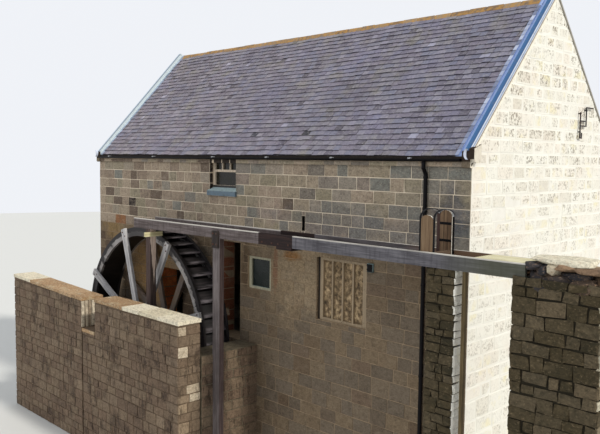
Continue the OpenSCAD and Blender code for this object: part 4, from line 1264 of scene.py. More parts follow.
# The wide light's frame is near black left of a line: painted shade from its reveal.
dress(paint("brown window paint", (0.66, 0.58, 0.47), (0.36, 0.29, 0.22),
            low=("X", float(CORNER.x) + WIDE[0] + 0.062, (0.13, 0.095, 0.06))), "wide_light")
dress(paint("grey green wall box", (0.48, 0.55, 0.55), (0.30, 0.31, 0.30),
            low=("Z", 5.33, (0.27, 0.32, 0.32))), "wall_box")
dress(iron("bracket iron", (0.10, 0.09, 0.09), (0.30, 0.18, 0.12), 0.5), "gable_bracket")
print("joinery dressed")

# %% [markdown]
# Glass that looks into a dark mill is nearly black, with a bloom of dust and, in the lower
# windows, a teal painted reflection. The wide light's panes are so grimy that they pass for
# boards, and their brown mottling is also a painted reflection of stone. The sill is slate,
# paler above one height.

# %% Sills and glass
def sill_finish():
    """Slate, pale along the nose of the upper sill."""
    it = Finish("slate sill", Specular_IOR_Level=0.35)
    # paler above one height, on the sill's upper part
    colour = it.mix((0.40, 0.47, 0.52), (0.66, 0.74, 0.75), it.axis("Z").over(6.79, 6.81))
    colour = it.patches(colour, (0.30, 0.30, 0.28), 0.07, (0.5, 0.75), 0.6, detail=5.0)
    return it.end(Base_Color=colour, Roughness=it.noise(0.05) * 0.2 + 0.6,
                  Normal=it.bump(it.noise(0.02), 0.004, 0.6))


def glass_finish():
    """Dusty glass: a teal painted reflection in the lower windows, browner in the upper one."""
    it = Finish("dusty glass", Specular_IOR_Level=0.28)
    # teal below 5.8 m, in the lower windows: a painted reflection
    colour = it.mix((0.06, 0.10, 0.10), (0.12, 0.11, 0.08), it.axis("Z").over(5.8, 6.0))
    dust = it.noise(0.25, 5.0).over(0.45, 0.75)
    colour = it.mix(colour, (0.18, 0.20, 0.17), dust * 0.3)
    return it.end(Base_Color=colour, Roughness=dust * 0.3 + 0.2,
                  Normal=it.bump(it.noise(0.4, 2.0), 0.004, 0.2))


def grime_and_reflection_finish():
    """Panes under brown mottling in all strengths: dirt and a painted reflection of stone."""
    it = Finish("grimy panes with painted reflection", Specular_IOR_Level=0.3)
    # brown mottling: dirt and a painted reflection of stone at once
    colour = it.ramp(it.noise(0.10, 6.0, 0.7), (0.3, (0.14, 0.11, 0.08)),
                     (0.44, (0.40, 0.33, 0.24)), (0.56, (0.60, 0.51, 0.39)),
                     (0.68, (0.80, 0.70, 0.55)))
    return it.end(Base_Color=colour, Roughness=0.75,
                  Normal=it.bump(it.noise(0.05, 5.0), 0.006, 0.6))


def in_slit(spot, normal):
    """The faces round the vent slit."""
    x, z = spot.x - CORNER.x, spot.z
    return SLIT[0] - 0.01 < x < SLIT[1] + 0.01 and SLIT[2] - 0.01 < z < SLIT[3] + 0.01


dress(sill_finish(), "window_sills")
dress(glass_finish(), "window_glass")
dress(grime_and_reflection_finish(), "wide_light_panels")
second_finish(("front_wall_upper",),
              plain_stone("sooty stone", (0.07, 0.06, 0.055), (0.03, 0.03, 0.03)), in_slit)
print("glass and slit dressed")

# %% [markdown]
# The walls of the pit stand at the very edge of the CAD model, where nothing may stick out.
# So each gets a hearting, its CAD mesh drawn in by a thumb's width and made of mortar, and
# the stones are laid from there out to the CAD model's own face.

# %% Tools for the rough walls
# Tones near 1, almost white, are painted sunlight on sides that face the lamp.
ROUGH_STONE = sandstone("rough pit stone", (
    (0.0, (0.43, 0.36, 0.30)), (0.25, (0.49, 0.41, 0.34)), (0.5, (0.52, 0.45, 0.37)),
    (0.7, (0.50, 0.43, 0.36)), (0.85, (0.66, 0.58, 0.48)), (1.0, (0.98, 0.93, 0.83))),
    (0.20, 0.15, 0.12), 0.04, 0.55, blotch=0.6, drips=0.75)
ROUGH_MORTAR = mortar("damp mortar", (0.47, 0.40, 0.33), (0.30, 0.25, 0.20))


def hearting(node, inset=0.03, cap=0.0, material=ROUGH_MORTAR):
    """A mortar core for a wall: its mesh, drawn in from the sides and below a coping."""
    low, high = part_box(node)
    mesh = NODES[node].data.copy()
    for vertex in mesh.vertices:
        for axis in (0, 1):
            vertex.co[axis] = min(max(vertex.co[axis], low[axis] + inset), high[axis] - inset)
        if vertex.co.z > high.z - 0.2:
            vertex.co.z -= cap
    mesh.materials.clear()
    mesh.materials.append(material)
    made = in_scene(node + "_hearting", mesh)
    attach(made, "mill")
    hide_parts(node)
    print(made.name, "drawn in by", inset)


def clad(pile, low, high, tones, levels, head=None, inset=0.022, **how):
    """Stones on the sides of an upright block that tones names: front, right, back, left."""
    x0, y0, x1, y1 = low[0] + inset, low[1] + inset, high[0] - inset, high[1] - inset
    faces = {"front": (at(x0, y0, 0), (1, 0, 0), (0, -1, 0), high[0] - low[0]),
             "right": (at(x1, y0, 0), (0, 1, 0), (1, 0, 0), high[1] - low[1]),
             "back": (at(x1, y1, 0), (-1, 0, 0), (0, 1, 0), high[0] - low[0]),
             "left": (at(x0, y1, 0), (0, -1, 0), (-1, 0, 0), high[1] - low[1])}
    for side, (darkest, palest) in tones.items():
        start, along, out, width = faces[side]
        first, sign = start[0] - CORNER.x, along[0]
        top = (lambda u: head(first + sign * u)) if head else None
        lay(pile, Side(start, along, out), width - 2 * inset, levels, (), top,
            tone=lambda u, z, pick: pick.uniform(darkest, palest), **how)


def coping(pile, spots, y0, y1, thick, tone):
    """Slabs along a wall's top; spots lists (x, z) of its top line from left to right."""
    pick = pile.random.uniform
    xs, zs = zip(*spots)
    gap = 0.005
    x = xs[0]
    while x < xs[-1] - 0.05:
        end = min(x + pick(0.5, 0.95), xs[-1])
        if xs[-1] - end < 0.25:
            end = xs[-1]
        a, b = (np.interp(v, xs, zs) for v in (x, end))
        drop = pick(0.002, 0.012)
        corners = [at(u, y + way * pick(0, 0.01), z - drop)
                   for u, y, way, z in ((x + gap, y0, 1, a), (end - gap, y0, 1, b),
                                        (end - gap, y1, -1, b), (x + gap, y1, -1, a))]
        stone(pile, corners, np.array((0, 0, 1.0)), 0.0, 0.02, 0.002, thick, tone(x))
        x = end


print("tools for rough walls ready")

# %% [markdown]
# The yard wall slopes down to a gap, and the pit wall begins beyond it with a low sill. A
# tall course of narrow stones closes the yard wall's end. Tones near 1 are pale and are
# painted sunlight, on the right sides that face the lamp and above all on the yard wall's
# end. Each side gets the range of tones that the photograph shows there.

# %% The walls of the pit and the yard
pit_low, pit_high = local_box("pit_wall")
yard_low, yard_high = local_box("yard_wall")
GAP_END, CAP = -9.63, 0.085
YARD_WALL_END = 3.915
yard_rise = (yard_high.z - YARD_WALL_END) / (yard_high.x - yard_low.x)


def pit_head(x):
    return (pit_high.z if x > GAP_END else YARD) - CAP


def yard_head(x):
    return YARD_WALL_END + yard_rise * (yard_high.x - x) - CAP


pile = Pile(41)
pit_levels = course_levels(0.0, 4.1, 0.24, 0.05, 42)
FRONT_TONES, SUNLIT_RIGHT_TONES, BACK_TONES, LEFT_TONES = (0.0, 0.75), (0.3, 0.95), (0.0, 0.6), (0.1, 0.7)
how = {"size": (0.22, 0.5), "jitter": 0.008}
clad(pile, pit_low, pit_high, {"front": FRONT_TONES, "back": BACK_TONES, "right": SUNLIT_RIGHT_TONES},
     pit_levels, pit_head, **how)
clad(pile, (GAP_END, pit_low.y), pit_high, {"left": LEFT_TONES},
     [YARD, 3.3, 3.55, 3.75, pit_high.z - CAP], size=(0.2, 0.4), jitter=0.008)
clad(pile, yard_low, yard_high, {"front": FRONT_TONES, "back": BACK_TONES, "left": LEFT_TONES},
     pit_levels, yard_head, **how)
# The yard wall's end takes only the palest tones: painted sunlight.
clad(pile, yard_low, yard_high, {"right": (0.88, 1.0)}, [YARD, YARD_WALL_END - CAP],
     size=(0.07, 0.11), jitter=0.012, proud=0.006)
pile.build("pit_and_yard_stones", "mill", "rubble", ROUGH_STONE)
for node in ("pit_wall", "yard_wall"):
    hearting(node, 0.032, CAP)

# %% [markdown]
# Copings are long slabs that keep the rain out of a wall. Their tone is set by their place,
# because the photograph has brown ones first and bleached ones after them.

# %% Copings
COPING = sandstone("worn coping", ((0.0, (0.66, 0.53, 0.39)), (0.3, (0.75, 0.61, 0.46)),
                                   (0.6, (0.90, 0.85, 0.74)), (1.0, (1.0, 0.96, 0.87))),
                   (0.36, 0.30, 0.25), 0.03, 0.6)
PALE_FROM = -8.6
pile = Pile(43)
pick = pile.random.uniform
coping(pile, [(GAP_END, pit_high.z), (pit_high.x, pit_high.z)], pit_low.y, pit_high.y, CAP,
       lambda x: 0.1 if x < PALE_FROM else pick(0.6, 1.0))
coping(pile, [(-10.3, YARD), (GAP_END, YARD)], pit_low.y, pit_high.y, CAP, lambda x: 0.2)
coping(pile, [(yard_low.x, yard_high.z), (yard_high.x, YARD_WALL_END)],
       yard_low.y, yard_high.y, CAP,
       lambda x: 0.8 if x < yard_low.x + 0.8 or x > yard_high.x - 0.35 else pick(0.1, 0.35))
pile.build("wall_copings", "mill", "pale_stone", COPING)

# %% [markdown]
# The pit's ends and the pier under the outer bearing are hidden in the photograph, so they
# get the same stone in the plainest bond.

# %% The pit's ends
AXLE_X, AXLE_Z = -9.53, 2.975
PIT_REACH = 2.97  # from the axle to the pit's ends
pile = Pile(44)
low, high = local_box("pit_end_walls")
end_levels = course_levels(0.0, high.z, 0.26, 0.04, 45)
for x0, x1 in ((low.x, AXLE_X - PIT_REACH), (AXLE_X + PIT_REACH, high.x)):
    clad(pile, (x0, low.y), (x1, high.y), {"right": BACK_TONES, "left": BACK_TONES}, end_levels,
         inset=-0.002, size=(0.25, 0.5))
low, high = local_box("bearing_pier")
clad(pile, low, high, {"right": (0.1, 0.6), "back": (0.1, 0.6), "left": (0.1, 0.6)},
     course_levels(0.0, high.z, 0.27, 0.03, 46), size=(0.2, 0.36))
pile.build("pit_end_stones", "mill", "rubble", ROUGH_STONE)
hearting("bearing_pier")
dress(plain_stone("pit end stone", (0.44, 0.40, 0.33), (0.26, 0.24, 0.20)), "pit_end_walls")

# %% [markdown]
# The pier under the sluice is field stone: small, hardly squared and green with damp, and
# darker still on its shaded sides, which is painted shade. The side that takes the sun is
# near white: painted sunlight.

# %% The launder's pier
# Dark tones are damp stone and painted shade at once; tones from 0.8 are painted sunlight.
MOSSY_WITH_PAINTED_LIGHT = sandstone("mossy field stone with painted shade and sunlight", (
    (0.0, (0.20, 0.18, 0.12)), (0.2, (0.30, 0.26, 0.18)), (0.4, (0.36, 0.32, 0.25)),
    (0.6, (0.46, 0.40, 0.31)), (0.8, (0.80, 0.77, 0.68)), (1.0, (0.88, 0.86, 0.79))),
    (0.14, 0.14, 0.09), 0.05, 0.75)
DARK_MORTAR = mortar("earthy mortar", (0.17, 0.15, 0.11), (0.09, 0.09, 0.07))
field, sunny = Pile(47), Pile(52)
low, high = local_box("launder_pier")
pier_levels = course_levels(0.0, high.z, 0.15, 0.045, 48)
# Shaded sides take dark tones; the right side takes the gable's stone as painted sunlight.
for pile, tones in ((field, {"front": (0.0, 0.36), "back": (0.0, 0.5), "left": (0.0, 0.5)}),
                    (sunny, {"right": (0.3, 0.9)})):
    clad(pile, low, high, tones, pier_levels, inset=0.014, size=(0.12, 0.34), jitter=0.014,
         joint=0.018, proud=0.012, rough=0.012, worn=0.03)
sunny.build("sunlit_pier_stones", "mill", "rubble", GABLE_STONE)
hearting("launder_pier", 0.03, 0.0, DARK_MORTAR)

# %% [markdown]
# At its right end the launder comes out of a bank of field stones. They are laid like those
# of the pier, only larger and rougher, and share a pile with them.

# %% The stones of the abutment
BANK_TOP = 5.87
low, high = local_box("abutment")
# The abutment's right side reaches the pale tones: painted sunlight.
clad(field, low, high, {"front": (0.05, 0.55), "right": (0.3, 0.95), "back": (0.1, 0.6),
                        "left": (0.05, 0.5)},
     course_levels(0.0, BANK_TOP, 0.2, 0.05, 49), inset=0.02, size=(0.18, 0.5), jitter=0.02,
     joint=0.02, proud=0.014, rough=0.014, worn=0.04)
field.build("field_stones", "mill", "rubble", MOSSY_WITH_PAINTED_LIGHT)

# %% [markdown]
# On top lie broken rocks round the launder's mouth. The hull of a few random points has the
# flat faces and sharp corners of split stone, and a narrow bevel wears its edges. A sphere
# with noise would look like a potato.

# %% The broken rocks
def rock(pile, low, high, tone, corners=22):
    """A broken field stone that fills a box: the hull of random points, its edges worn."""
    pick = pile.random.uniform
    bm = bmesh.new()
    for _ in range(corners):
        p = np.array([pick(-1, 1) for _ in range(3)])
        bm.verts.new(p / np.abs(p).max() * pick(0.8, 1.0))
    bmesh.ops.convex_hull(bm, input=bm.verts)
    bmesh.ops.delete(bm, geom=[v for v in bm.verts if not v.link_faces], context="VERTS")
    bmesh.ops.bevel(bm, geom=bm.edges[:], offset=0.07, segments=2, profile=0.5, affect="EDGES")
    bm.verts.index_update()
    points = np.array([v.co for v in bm.verts])
    low, high = np.asarray(low, float), np.asarray(high, float)
    points = low + (points - points.min(0)) / (points.max(0) - points.min(0)) * (high - low)
    faces = [tuple(v.index for v in face.verts) for face in bm.faces]
    bm.free()
    pile.add([at(*p) for p in points], faces, tone)


# (foot, top, tone), from the left front corner of the rocks' bed
ROCKS = (
    ((0.02, 0.06, 6.07), (1.0, 0.55, 6.21), 1.0), ((0.00, 0.00, 5.97), (0.24, 0.30, 6.11), 0.14),
    ((0.16, 0.00, 5.92), (0.40, 0.30, 6.09), 0.05), ((0.34, 0.02, 5.93), (0.54, 0.36, 6.13), 0.85),
    ((0.46, 0.00, 5.99), (0.86, 0.50, 6.13), 0.6), ((0.72, 0.02, 5.95), (1.22, 0.50, 6.10), 0.48),
    ((0.50, 0.08, 5.86), (0.98, 0.40, 6.00), 0.06), ((0.00, 0.00, 5.66), (0.44, 0.34, 5.96), 0.12),
    ((0.34, 0.00, 5.72), (0.78, 0.34, 5.95), 0.2), ((0.70, 0.00, 5.66), (1.1, 0.34, 5.93), 0.28),
    ((0.92, 0.14, 5.66), (1.22, 0.55, 5.97), 0.45), ((0.02, 0.34, 5.72), (0.5, 0.62, 6.08), 0.4),
    ((0.5, 0.34, 5.74), (1.1, 0.62, 6.08), 0.7))
BED_X, bed_y, bed_back = 1.85, low.y + 0.01, high.y - 0.01
rocks = Pile(50)
for foot, top, tone in ROCKS:
    rock(rocks, (BED_X + foot[0], bed_y + foot[1], foot[2]),
         (BED_X + top[0], min(bed_y + top[1], bed_back), top[2]), tone)
BOULDER = sandstone("lichened boulder", (
    (0.0, (0.17, 0.17, 0.19)), (0.15, (0.25, 0.24, 0.25)), (0.3, (0.34, 0.28, 0.23)),
    (0.6, (0.60, 0.49, 0.39)), (0.8, (0.76, 0.70, 0.60)), (1.0, (0.92, 0.89, 0.80))),
    (0.24, 0.21, 0.18), 0.06, 0.7)
rocks.build("boulders", "mill", "rubble", BOULDER)

# %% [markdown]
# Behind the stones and under the rocks is the core. The CAD model's abutment carries plain
# boulders, so its mesh can't be drawn in like a wall's: one block of mortar takes its place.

# %% The abutment's core
CORE_IN = 0.035
core = Pile(51)
bevelled(core, at(low.x + CORE_IN, low.y + CORE_IN, 0.0),
         at(high.x - CORE_IN, high.y - CORE_IN, BANK_TOP - 0.02), 0.02)
made = core.build("abutment_hearting", "mill", "rubble", DARK_MORTAR)
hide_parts("abutment")

# %% [markdown]
# The launder is an open trough of three boards. Its sides have weathered to purple grey and
# the splice was tarred. The upper edges of the boards carry painted sunlight. Those edges are
# single faces of the CAD mesh, so they simply get a second finish.

# %% The launder
LAUNDER_TOP = local_box("launder_right_length")[1].z
launder_low, launder_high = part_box("launder_right_length")
trough_middle = (launder_low.y + launder_high.y) / 2
# A pale strip just under the boards' top: painted sunlight.
SUNLIT_BOARD_EDGE = ("Z", LAUNDER_TOP - 0.019, (0.80, 0.78, 0.75))


def near_upper_edge(spot, normal):
    return normal.z > 0.9 and spot.z > LAUNDER_TOP - 0.01 and spot.y < trough_middle


def trough_floor(spot, normal):
    return normal.z > 0.9 and spot.z < LAUNDER_TOP - 0.06


def far_inner_side(spot, normal):
    return normal.y < -0.9 and spot.y > trough_middle


dress(wood("reddish grey board", (0.26, 0.22, 0.21), (0.41, 0.37, 0.365), (0.52, 0.48, 0.48),
           drips=0.6, edge=SUNLIT_BOARD_EDGE), "launder_left_length")
dress(wood("tarred board", (0.08, 0.055, 0.05), (0.16, 0.11, 0.105), (0.26, 0.19, 0.17)),
      "launder_splice")
dress(wood("purple grey board", (0.25, 0.24, 0.26), (0.39, 0.38, 0.40), (0.50, 0.49, 0.51),
           drips=0.6, edge=SUNLIT_BOARD_EDGE, tail=("X", float(CORNER.x) + 0.2, (0.32, 0.33, 0.24))),
      "launder_right_length")
dress(wood("pale new board", (0.66, 0.62, 0.48), (0.82, 0.79, 0.65), (0.90, 0.88, 0.76)),
      "inlet_cover")
# The near board's top face: painted sunlight.
second_finish(("launder_left_length", "launder_right_length"), SUNLIT_EDGE_WOOD, near_upper_edge)
second_finish(("launder_right_length",),
              wood("silty trough floor", (0.24, 0.18, 0.13), (0.38, 0.29, 0.22),
                   (0.48, 0.39, 0.30)), trough_floor)
# The far inner side turns tan towards its right end: painted sunlight.
second_finish(("launder_right_length",),
              wood("inner board", (0.25, 0.23, 0.24), (0.38, 0.36, 0.37), (0.49, 0.47, 0.48),
                   tail=("X", float(CORNER.x) - 1.0, (0.56, 0.42, 0.28))), far_inner_side)
print("launder dressed")

# %% [markdown]
# The posts are oak. The wheel post's right side has a wedge of painted sunlight on it, narrow
# below and wide above. Its shader takes a number that grows with height and subtracts the
# distance from the side's middle line: what is left is above zero only inside the wedge.

# %% The posts
LAUNDER_NEAR = -1.366  # the launder's near face
WEDGE_FOOT, WEDGE_SPREAD = 4.35, 0.085


def sunlit_wedge_finish():
    """Post oak with the wedge of painted sunlight."""
    it = Finish("post side with a painted sunlit wedge", Specular_IOR_Level=0.25)
    low, high = local_box("wheel_post")
    grain, tint = grain_of(it, LONG["z"], (0.17, 0.13, 0.12), (0.29, 0.24, 0.22),
                           (0.40, 0.34, 0.31))
    off = (it.axis("Y") - float(CORNER.y + (low.y + high.y) / 2) - 0.02).math("ABSOLUTE")
    off = off + it.noise(0.15, 3.0) * 0.05 - 0.025
    wedge = (it.axis("Z") - WEDGE_FOOT) * WEDGE_SPREAD - off
    # the pale colour of the painted sunlight
    pale = it.ramp(grain, (0.3, (0.66, 0.56, 0.50)), (0.7, (0.92, 0.84, 0.78)))
    return it.end(Base_Color=it.mix(tint, pale, wedge.over(0.0, 0.012)),
                  Roughness=grain * 0.2 + 0.7, Normal=it.bump(grain, 0.006, 0.7))


def right_side(spot, normal):
    return normal.x > 0.9


dress(wood("wheel post oak", (0.19, 0.14, 0.13), (0.31, 0.25, 0.235), (0.42, 0.36, 0.33), "z"),
      "wheel_post")
second_finish(("wheel_post",), sunlit_wedge_finish(), right_side)
dress(wood("pale plank", (0.62, 0.57, 0.42), (0.78, 0.74, 0.58), (0.88, 0.85, 0.70), "y"),
      "bolster")
dress(wood("silvered post", (0.30, 0.27, 0.27), (0.43, 0.395, 0.39), (0.55, 0.52, 0.52), "z"),
      "middle_post")
dress(wood("brown post", (0.24, 0.20, 0.13), (0.38, 0.32, 0.21), (0.48, 0.42, 0.30), "z"),
      "right_post")
second_finish(("middle_post",),
              wood("shaded post side", (0.26, 0.21, 0.20), (0.37, 0.31, 0.30),
                   (0.47, 0.40, 0.39), "z"), right_side)
second_finish(("middle_post",),
              wood("dark cleat", (0.12, 0.10, 0.095), (0.20, 0.17, 0.16),
                   (0.28, 0.25, 0.24), "z"),
              lambda spot, normal: spot.y < CORNER.y + LAUNDER_NEAR - 0.001)
print("posts dressed")

# %% [markdown]
# Bolts and nails tell the eye how large the timbers are. Each is a six-sided head on a round
# washer, and all those on one body form one mesh.

# %% Bolt heads
# (sides, radius, height) of the rings of a washer and of a head, in sizes of the bolt
WASHER_RINGS = ((12, 1.7, 0.0), (12, 1.6, 0.25))
HEAD_RINGS = ((6, 1.0, 0.25), (6, 1.0, 1.0), (6, 0.75, 1.2))


def bolt(pile, spot, out, size=0.018):
    """A hexagon head on a washer, whose axis is out."""
    out = np.array(out, float)
    side = np.cross(out, (0.3, 0.5, 0.8))
    side /= np.linalg.norm(side)
    other = np.cross(out, side)
    turn = pile.random.uniform(0, 1.0)
    for rings in (WASHER_RINGS, HEAD_RINGS):
        points = []
        for sides, radius, height in rings:
            for k in range(sides):
                a = turn + 2 * math.pi * k / sides
                points.append(spot + size * (
                    radius * (math.cos(a) * side + math.sin(a) * other) + height * out))
        last = len(points) - sides
        faces = [(r + k, r + (k + 1) % sides, r + sides + (k + 1) % sides, r + sides + k)
                 for r in range(0, last, sides) for k in range(sides)]
        solid(pile, points, faces + [tuple(range(last, last + sides))])


RUSTY = iron("rusty bolt iron", (0.20, 0.15, 0.13), (0.36, 0.20, 0.12), 0.8, 0.6)
pile = Pile(61)
low, high = local_box("middle_post")
for z in (5.68, 5.92):
    for x in (low.x + 0.07, high.x - 0.07):
        bolt(pile, at(x, low.y, z), (0, -1, 0), 0.015)
for x in (-4.2, -3.9, -3.7, -3.4):
    bolt(pile, at(x, LAUNDER_NEAR, 5.87), (0, -1, 0), 0.013)
pile.build("launder_bolts", "mill", "rusty_iron", RUSTY)

# %% [markdown]
# The sluice is two iron hoops with round-headed boards between them. The boards' rims catch
# the light; the far board is made of three planks, which are only drawn by dark gaps.

# %% The sluice's boards and iron
dress(wood("tan cheek board", (0.34, 0.26, 0.19), (0.47, 0.38, 0.29), (0.56, 0.47, 0.37), "z"),
      "sluice_cheeks")
second_finish(("sluice_cheeks",),
              wood("olive cheek planks", (0.30, 0.23, 0.17), (0.50, 0.40, 0.31),
                   (0.64, 0.54, 0.42), "z", boards=("X", 0.083, CORNER.x - 0.14)),
              lambda spot, normal: spot.y > CORNER.y - 1.0)
# The boards' rims above the launder: painted sunlight.
second_finish(("sluice_cheeks",), SUNLIT_EDGE_WOOD,
              lambda spot, normal: abs(normal.y) < 0.5 and spot.z > LAUNDER_TOP)
dress(wood("gate board", (0.24, 0.19, 0.15), (0.38, 0.31, 0.25), (0.48, 0.41, 0.34), "y"),
      "sluice_gate")
dress(BLACK, "sluice_hoops", "cheek_straps")
print("sluice dressed")

# %% [markdown]
# Pale strips line the hoops' insides: painted highlights on the black iron. Each lining
# follows its hoop: its near leg and half an oval over it, made of short thin blocks.

# %% The hoops' linings and the edge plank
HOOP_RISE = 0.138
hoop_low, hoop_high = local_box("sluice_hoops")


def lining_line(shrink):
    """Points (y, z) along a hoop's inside, from one foot over the top."""
    mid, half = (hoop_low.y + hoop_high.y) / 2, (hoop_high.y - hoop_low.y) / 2 - 0.012
    top = hoop_high.z - 0.012
    line = [(mid - half + shrink, 5.95)]
    for angle in range(180, -1, -10):
        a = math.radians(angle)
        line.append((mid + (half - shrink) * math.cos(a),
                     top - HOOP_RISE + (HOOP_RISE - shrink) * math.sin(a)))
    return line


# painted highlights: pale strips inside the hoops
pile = Pile(62)
outer, inner = lining_line(0.0), lining_line(0.002)
for start in (hoop_low.x, hoop_high.x - 0.036):
    for k in range(len(outer) - 1):
        points = [at(x, *line[i]) for x in (start + 0.004, start + 0.032)
                  for line in (outer, inner) for i in (k, k + 1)]
        solid(pile, points, BLOCK_FACES, 0.5 + 0.5 * math.sin(k))
pile.build("hoop_linings", "mill", "black_iron",
           paint("pale lining for painted highlights", (0.82, 0.83, 0.85), (0.50, 0.50, 0.52)))
low, high = local_box("sluice_cheeks")
pile = Pile(64)
bevelled(pile, at(low.x - 0.07, high.y - 0.032, 5.99),
         at(low.x - 0.001, high.y - 0.004, high.z - 0.06), 0.004)
pile.build("edge_plank", "mill", "tarred_wood",
           wood("shaded plank", (0.20, 0.14, 0.13), (0.30, 0.22, 0.20), (0.40, 0.31, 0.29), "z"))

# %% [markdown]
# Small black iron is left: the bolts of the straps, which go through to both faces of their
# board, the wall box's cover with its hinges, and the bolts of the bracket on the gable.

# %% Fixings of the sluice and the wall
pile = Pile(63)
low, high = local_box("cheek_straps")
for z in (6.223, 6.523):
    for x in (low.x + 0.03, (low.x + high.x) / 2, high.x - 0.065):
        for y, out in ((high.y - 0.008, -1), (low.y + 0.008, 1)):
            bolt(pile, at(x, y, z), (0, out, 0), 0.008)
low, high = local_box("wall_box")
bevelled(pile, at(low.x + 0.008, low.y - 0.006, low.z + 0.01),
         at(high.x - 0.008, low.y + 0.001, high.z - 0.012), 0.004)
for z in (low.z + 0.04, high.z - 0.05):
    bevelled(pile, at(low.x - 0.004, low.y - 0.009, z),
             at(low.x + 0.012, low.y + 0.004, z + 0.03), 0.003)
bolt(pile, at(high.x - 0.03, low.y - 0.006, (low.z + high.z) / 2), (0, -1, 0), 0.007)
low, high = local_box("gable_bracket")
for y, z in ((4.215, 8.29), (4.215, 8.70), (4.505, 8.77)):
    bolt(pile, at(high.x, y, z), (1, 0, 0), 0.010)
pile.build("sluice_and_wall_fixings", "mill", "black_iron", BLACK)

# %% [markdown]
# The wheel turns, and grain drawn in straight lines would run across its curved boards. So
# its finishes measure round the axle: one number is the distance from it, the other the
# place along the rim.

# %% Functions for the wheel's wood
AXLE = at(AXLE_X, 0, AXLE_Z)
WHEEL_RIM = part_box("wheel_buckets")[1].z - float(AXLE[2])


def round_axle(it):
    """Distance from the axle and angle about it, and both with the depth as a place."""
    x, z = it.axis("X") - float(AXLE[0]), it.axis("Z") - float(AXLE[2])
    radius, angle = (x * x + z * z).math("SQRT"), x.math("ARCTAN2", z)
    place = it.node("ShaderNodeCombineXYZ", None, {0: radius, 1: angle * 2.6, 2: it.axis("Y")})
    return radius, angle, place


def inner_band(it, edge, spans):
    """Where a ring's ragged inner band has painted sunlight: wholly in spans, in degrees."""
    radius, angle, place = round_axle(it)
    ragged = radius + it.noise(0.16, 5.0, 0.7, place=place) * 0.24 - 0.12
    band = 1.0 - ragged.over(edge - 0.012, edge + 0.006)
    shown = 0.12
    for start, end in spans:
        inside = (angle - math.radians((start + end) / 2)).math("ABSOLUTE")
        half = math.radians((end - start) / 2)
        shown = (1.0 - inside.over(half, half + 0.06)).math("MAXIMUM", shown)
    return band * shown * it.noise(0.3, place=place).over(0.34, 0.44)


def wheel_wood(name, dark, mid, light, stretch, pale=None, joints=0, far=None, lip=None):
    """Wet timber.

    pale=(radius, colour, spans) marks the inner edge, lip=(radius, colour) the outer one,
    joints the segments, and far=(dark, light) colours what stands at the back."""
    it = Finish(name, Specular_IOR_Level=0.35)
    radius, angle, place = round_axle(it)
    grain, colour = grain_of(it, stretch, dark, mid, light, 0.05, 0.76, place)
    if far:
        back = it.ramp(grain, (0.28, far[0]), (0.76, far[1]))
        colour = it.mix(colour, back, it.axis("Y").over(CORNER.y - 0.6, CORNER.y - 0.5))
    height = grain * 0.6
    if pale:
        # pale: painted sunlight on the ring's inner edge
        edge, bleached, spans = pale
        colour = it.mix(colour, bleached, inner_band(it, edge, spans))
    if lip:
        # lip: a painted highlight along the buckets' outer edge
        edge, worn = lip
        outside = radius.over(edge - 0.02, edge)
        colour = it.mix(colour, worn, outside * it.noise(
            0.08, 4.0, 0.6, (1, 0.5, 0.12), place).over(0.42, 0.56))
    if joints:
        spot = (angle * (joints / (2 * math.pi))).math("FRACT") - 0.5
        gap = spot.math("ABSOLUTE").over(0.494, 0.498)
        colour = it.mix(colour, (0.02, 0.02, 0.02), gap)
        height = height - gap
    colour = it.patches(colour, dark, 0.4, (0.45, 0.7), 0.5)
    return it.end(Base_Color=colour, Roughness=grain * 0.3 + 0.45,
                  Normal=it.bump(height, 0.006, 0.7))


print("rim at", round(WHEEL_RIM, 3), "m from the axle")

# %% [markdown]
# On the real wheel the shrouds are dark and wet outside, and their inner edge where the arms
# meet them carries painted sunlight. The buckets' lips carry a painted highlight, the near
# arms are pale, and the far arms lie in the wheel's own shade.

# %% The waterwheel
dress(wheel_wood("shroud elm", (0.075, 0.06, 0.065), (0.135, 0.12, 0.125), (0.24, 0.215, 0.22),
                 (1, 0.08, 1), joints=16,
                 pale=(2.67, (0.62, 0.60, 0.59), ((-56, -16), (13, 23), (36, 72)))),
      "wheel_shrouds")
dress(wheel_wood("bucket boards", (0.04, 0.033, 0.035), (0.08, 0.068, 0.07), (0.24, 0.21, 0.22),
                 (1, 1, 0.10), lip=(WHEEL_RIM - 0.03, (0.40, 0.375, 0.39))), "wheel_buckets")
dress(wheel_wood("sole boards", (0.06, 0.05, 0.045), (0.12, 0.10, 0.09), (0.22, 0.19, 0.17),
                 (1, 0.5, 0.1), joints=24), "wheel_sole")
dress(wheel_wood("arm oak", (0.47, 0.46, 0.48), (0.73, 0.72, 0.72), (0.91, 0.90, 0.88),
                 (0.07, 1, 1), far=((0.32, 0.26, 0.21), (0.54, 0.46, 0.38))), "wheel_arms")
dress(wheel_wood("axle oak", (0.20, 0.17, 0.15), (0.34, 0.30, 0.27), (0.46, 0.42, 0.38),
                 (1, 1, 0.07)), "wheel_axle")
dress(iron("nave iron", (0.16, 0.12, 0.11), (0.34, 0.19, 0.11), 0.8, 0.6), "wheel_naves")
dress(iron("bearing iron", (0.12, 0.11, 0.11), (0.28, 0.17, 0.11), 0.5, 0.5), "bearings")
print("wheel dressed")

# %% [markdown]
# Each arm is bolted twice to the shroud and twice to the nave. The bolts ride on the wheel's
# body, so they turn with it.

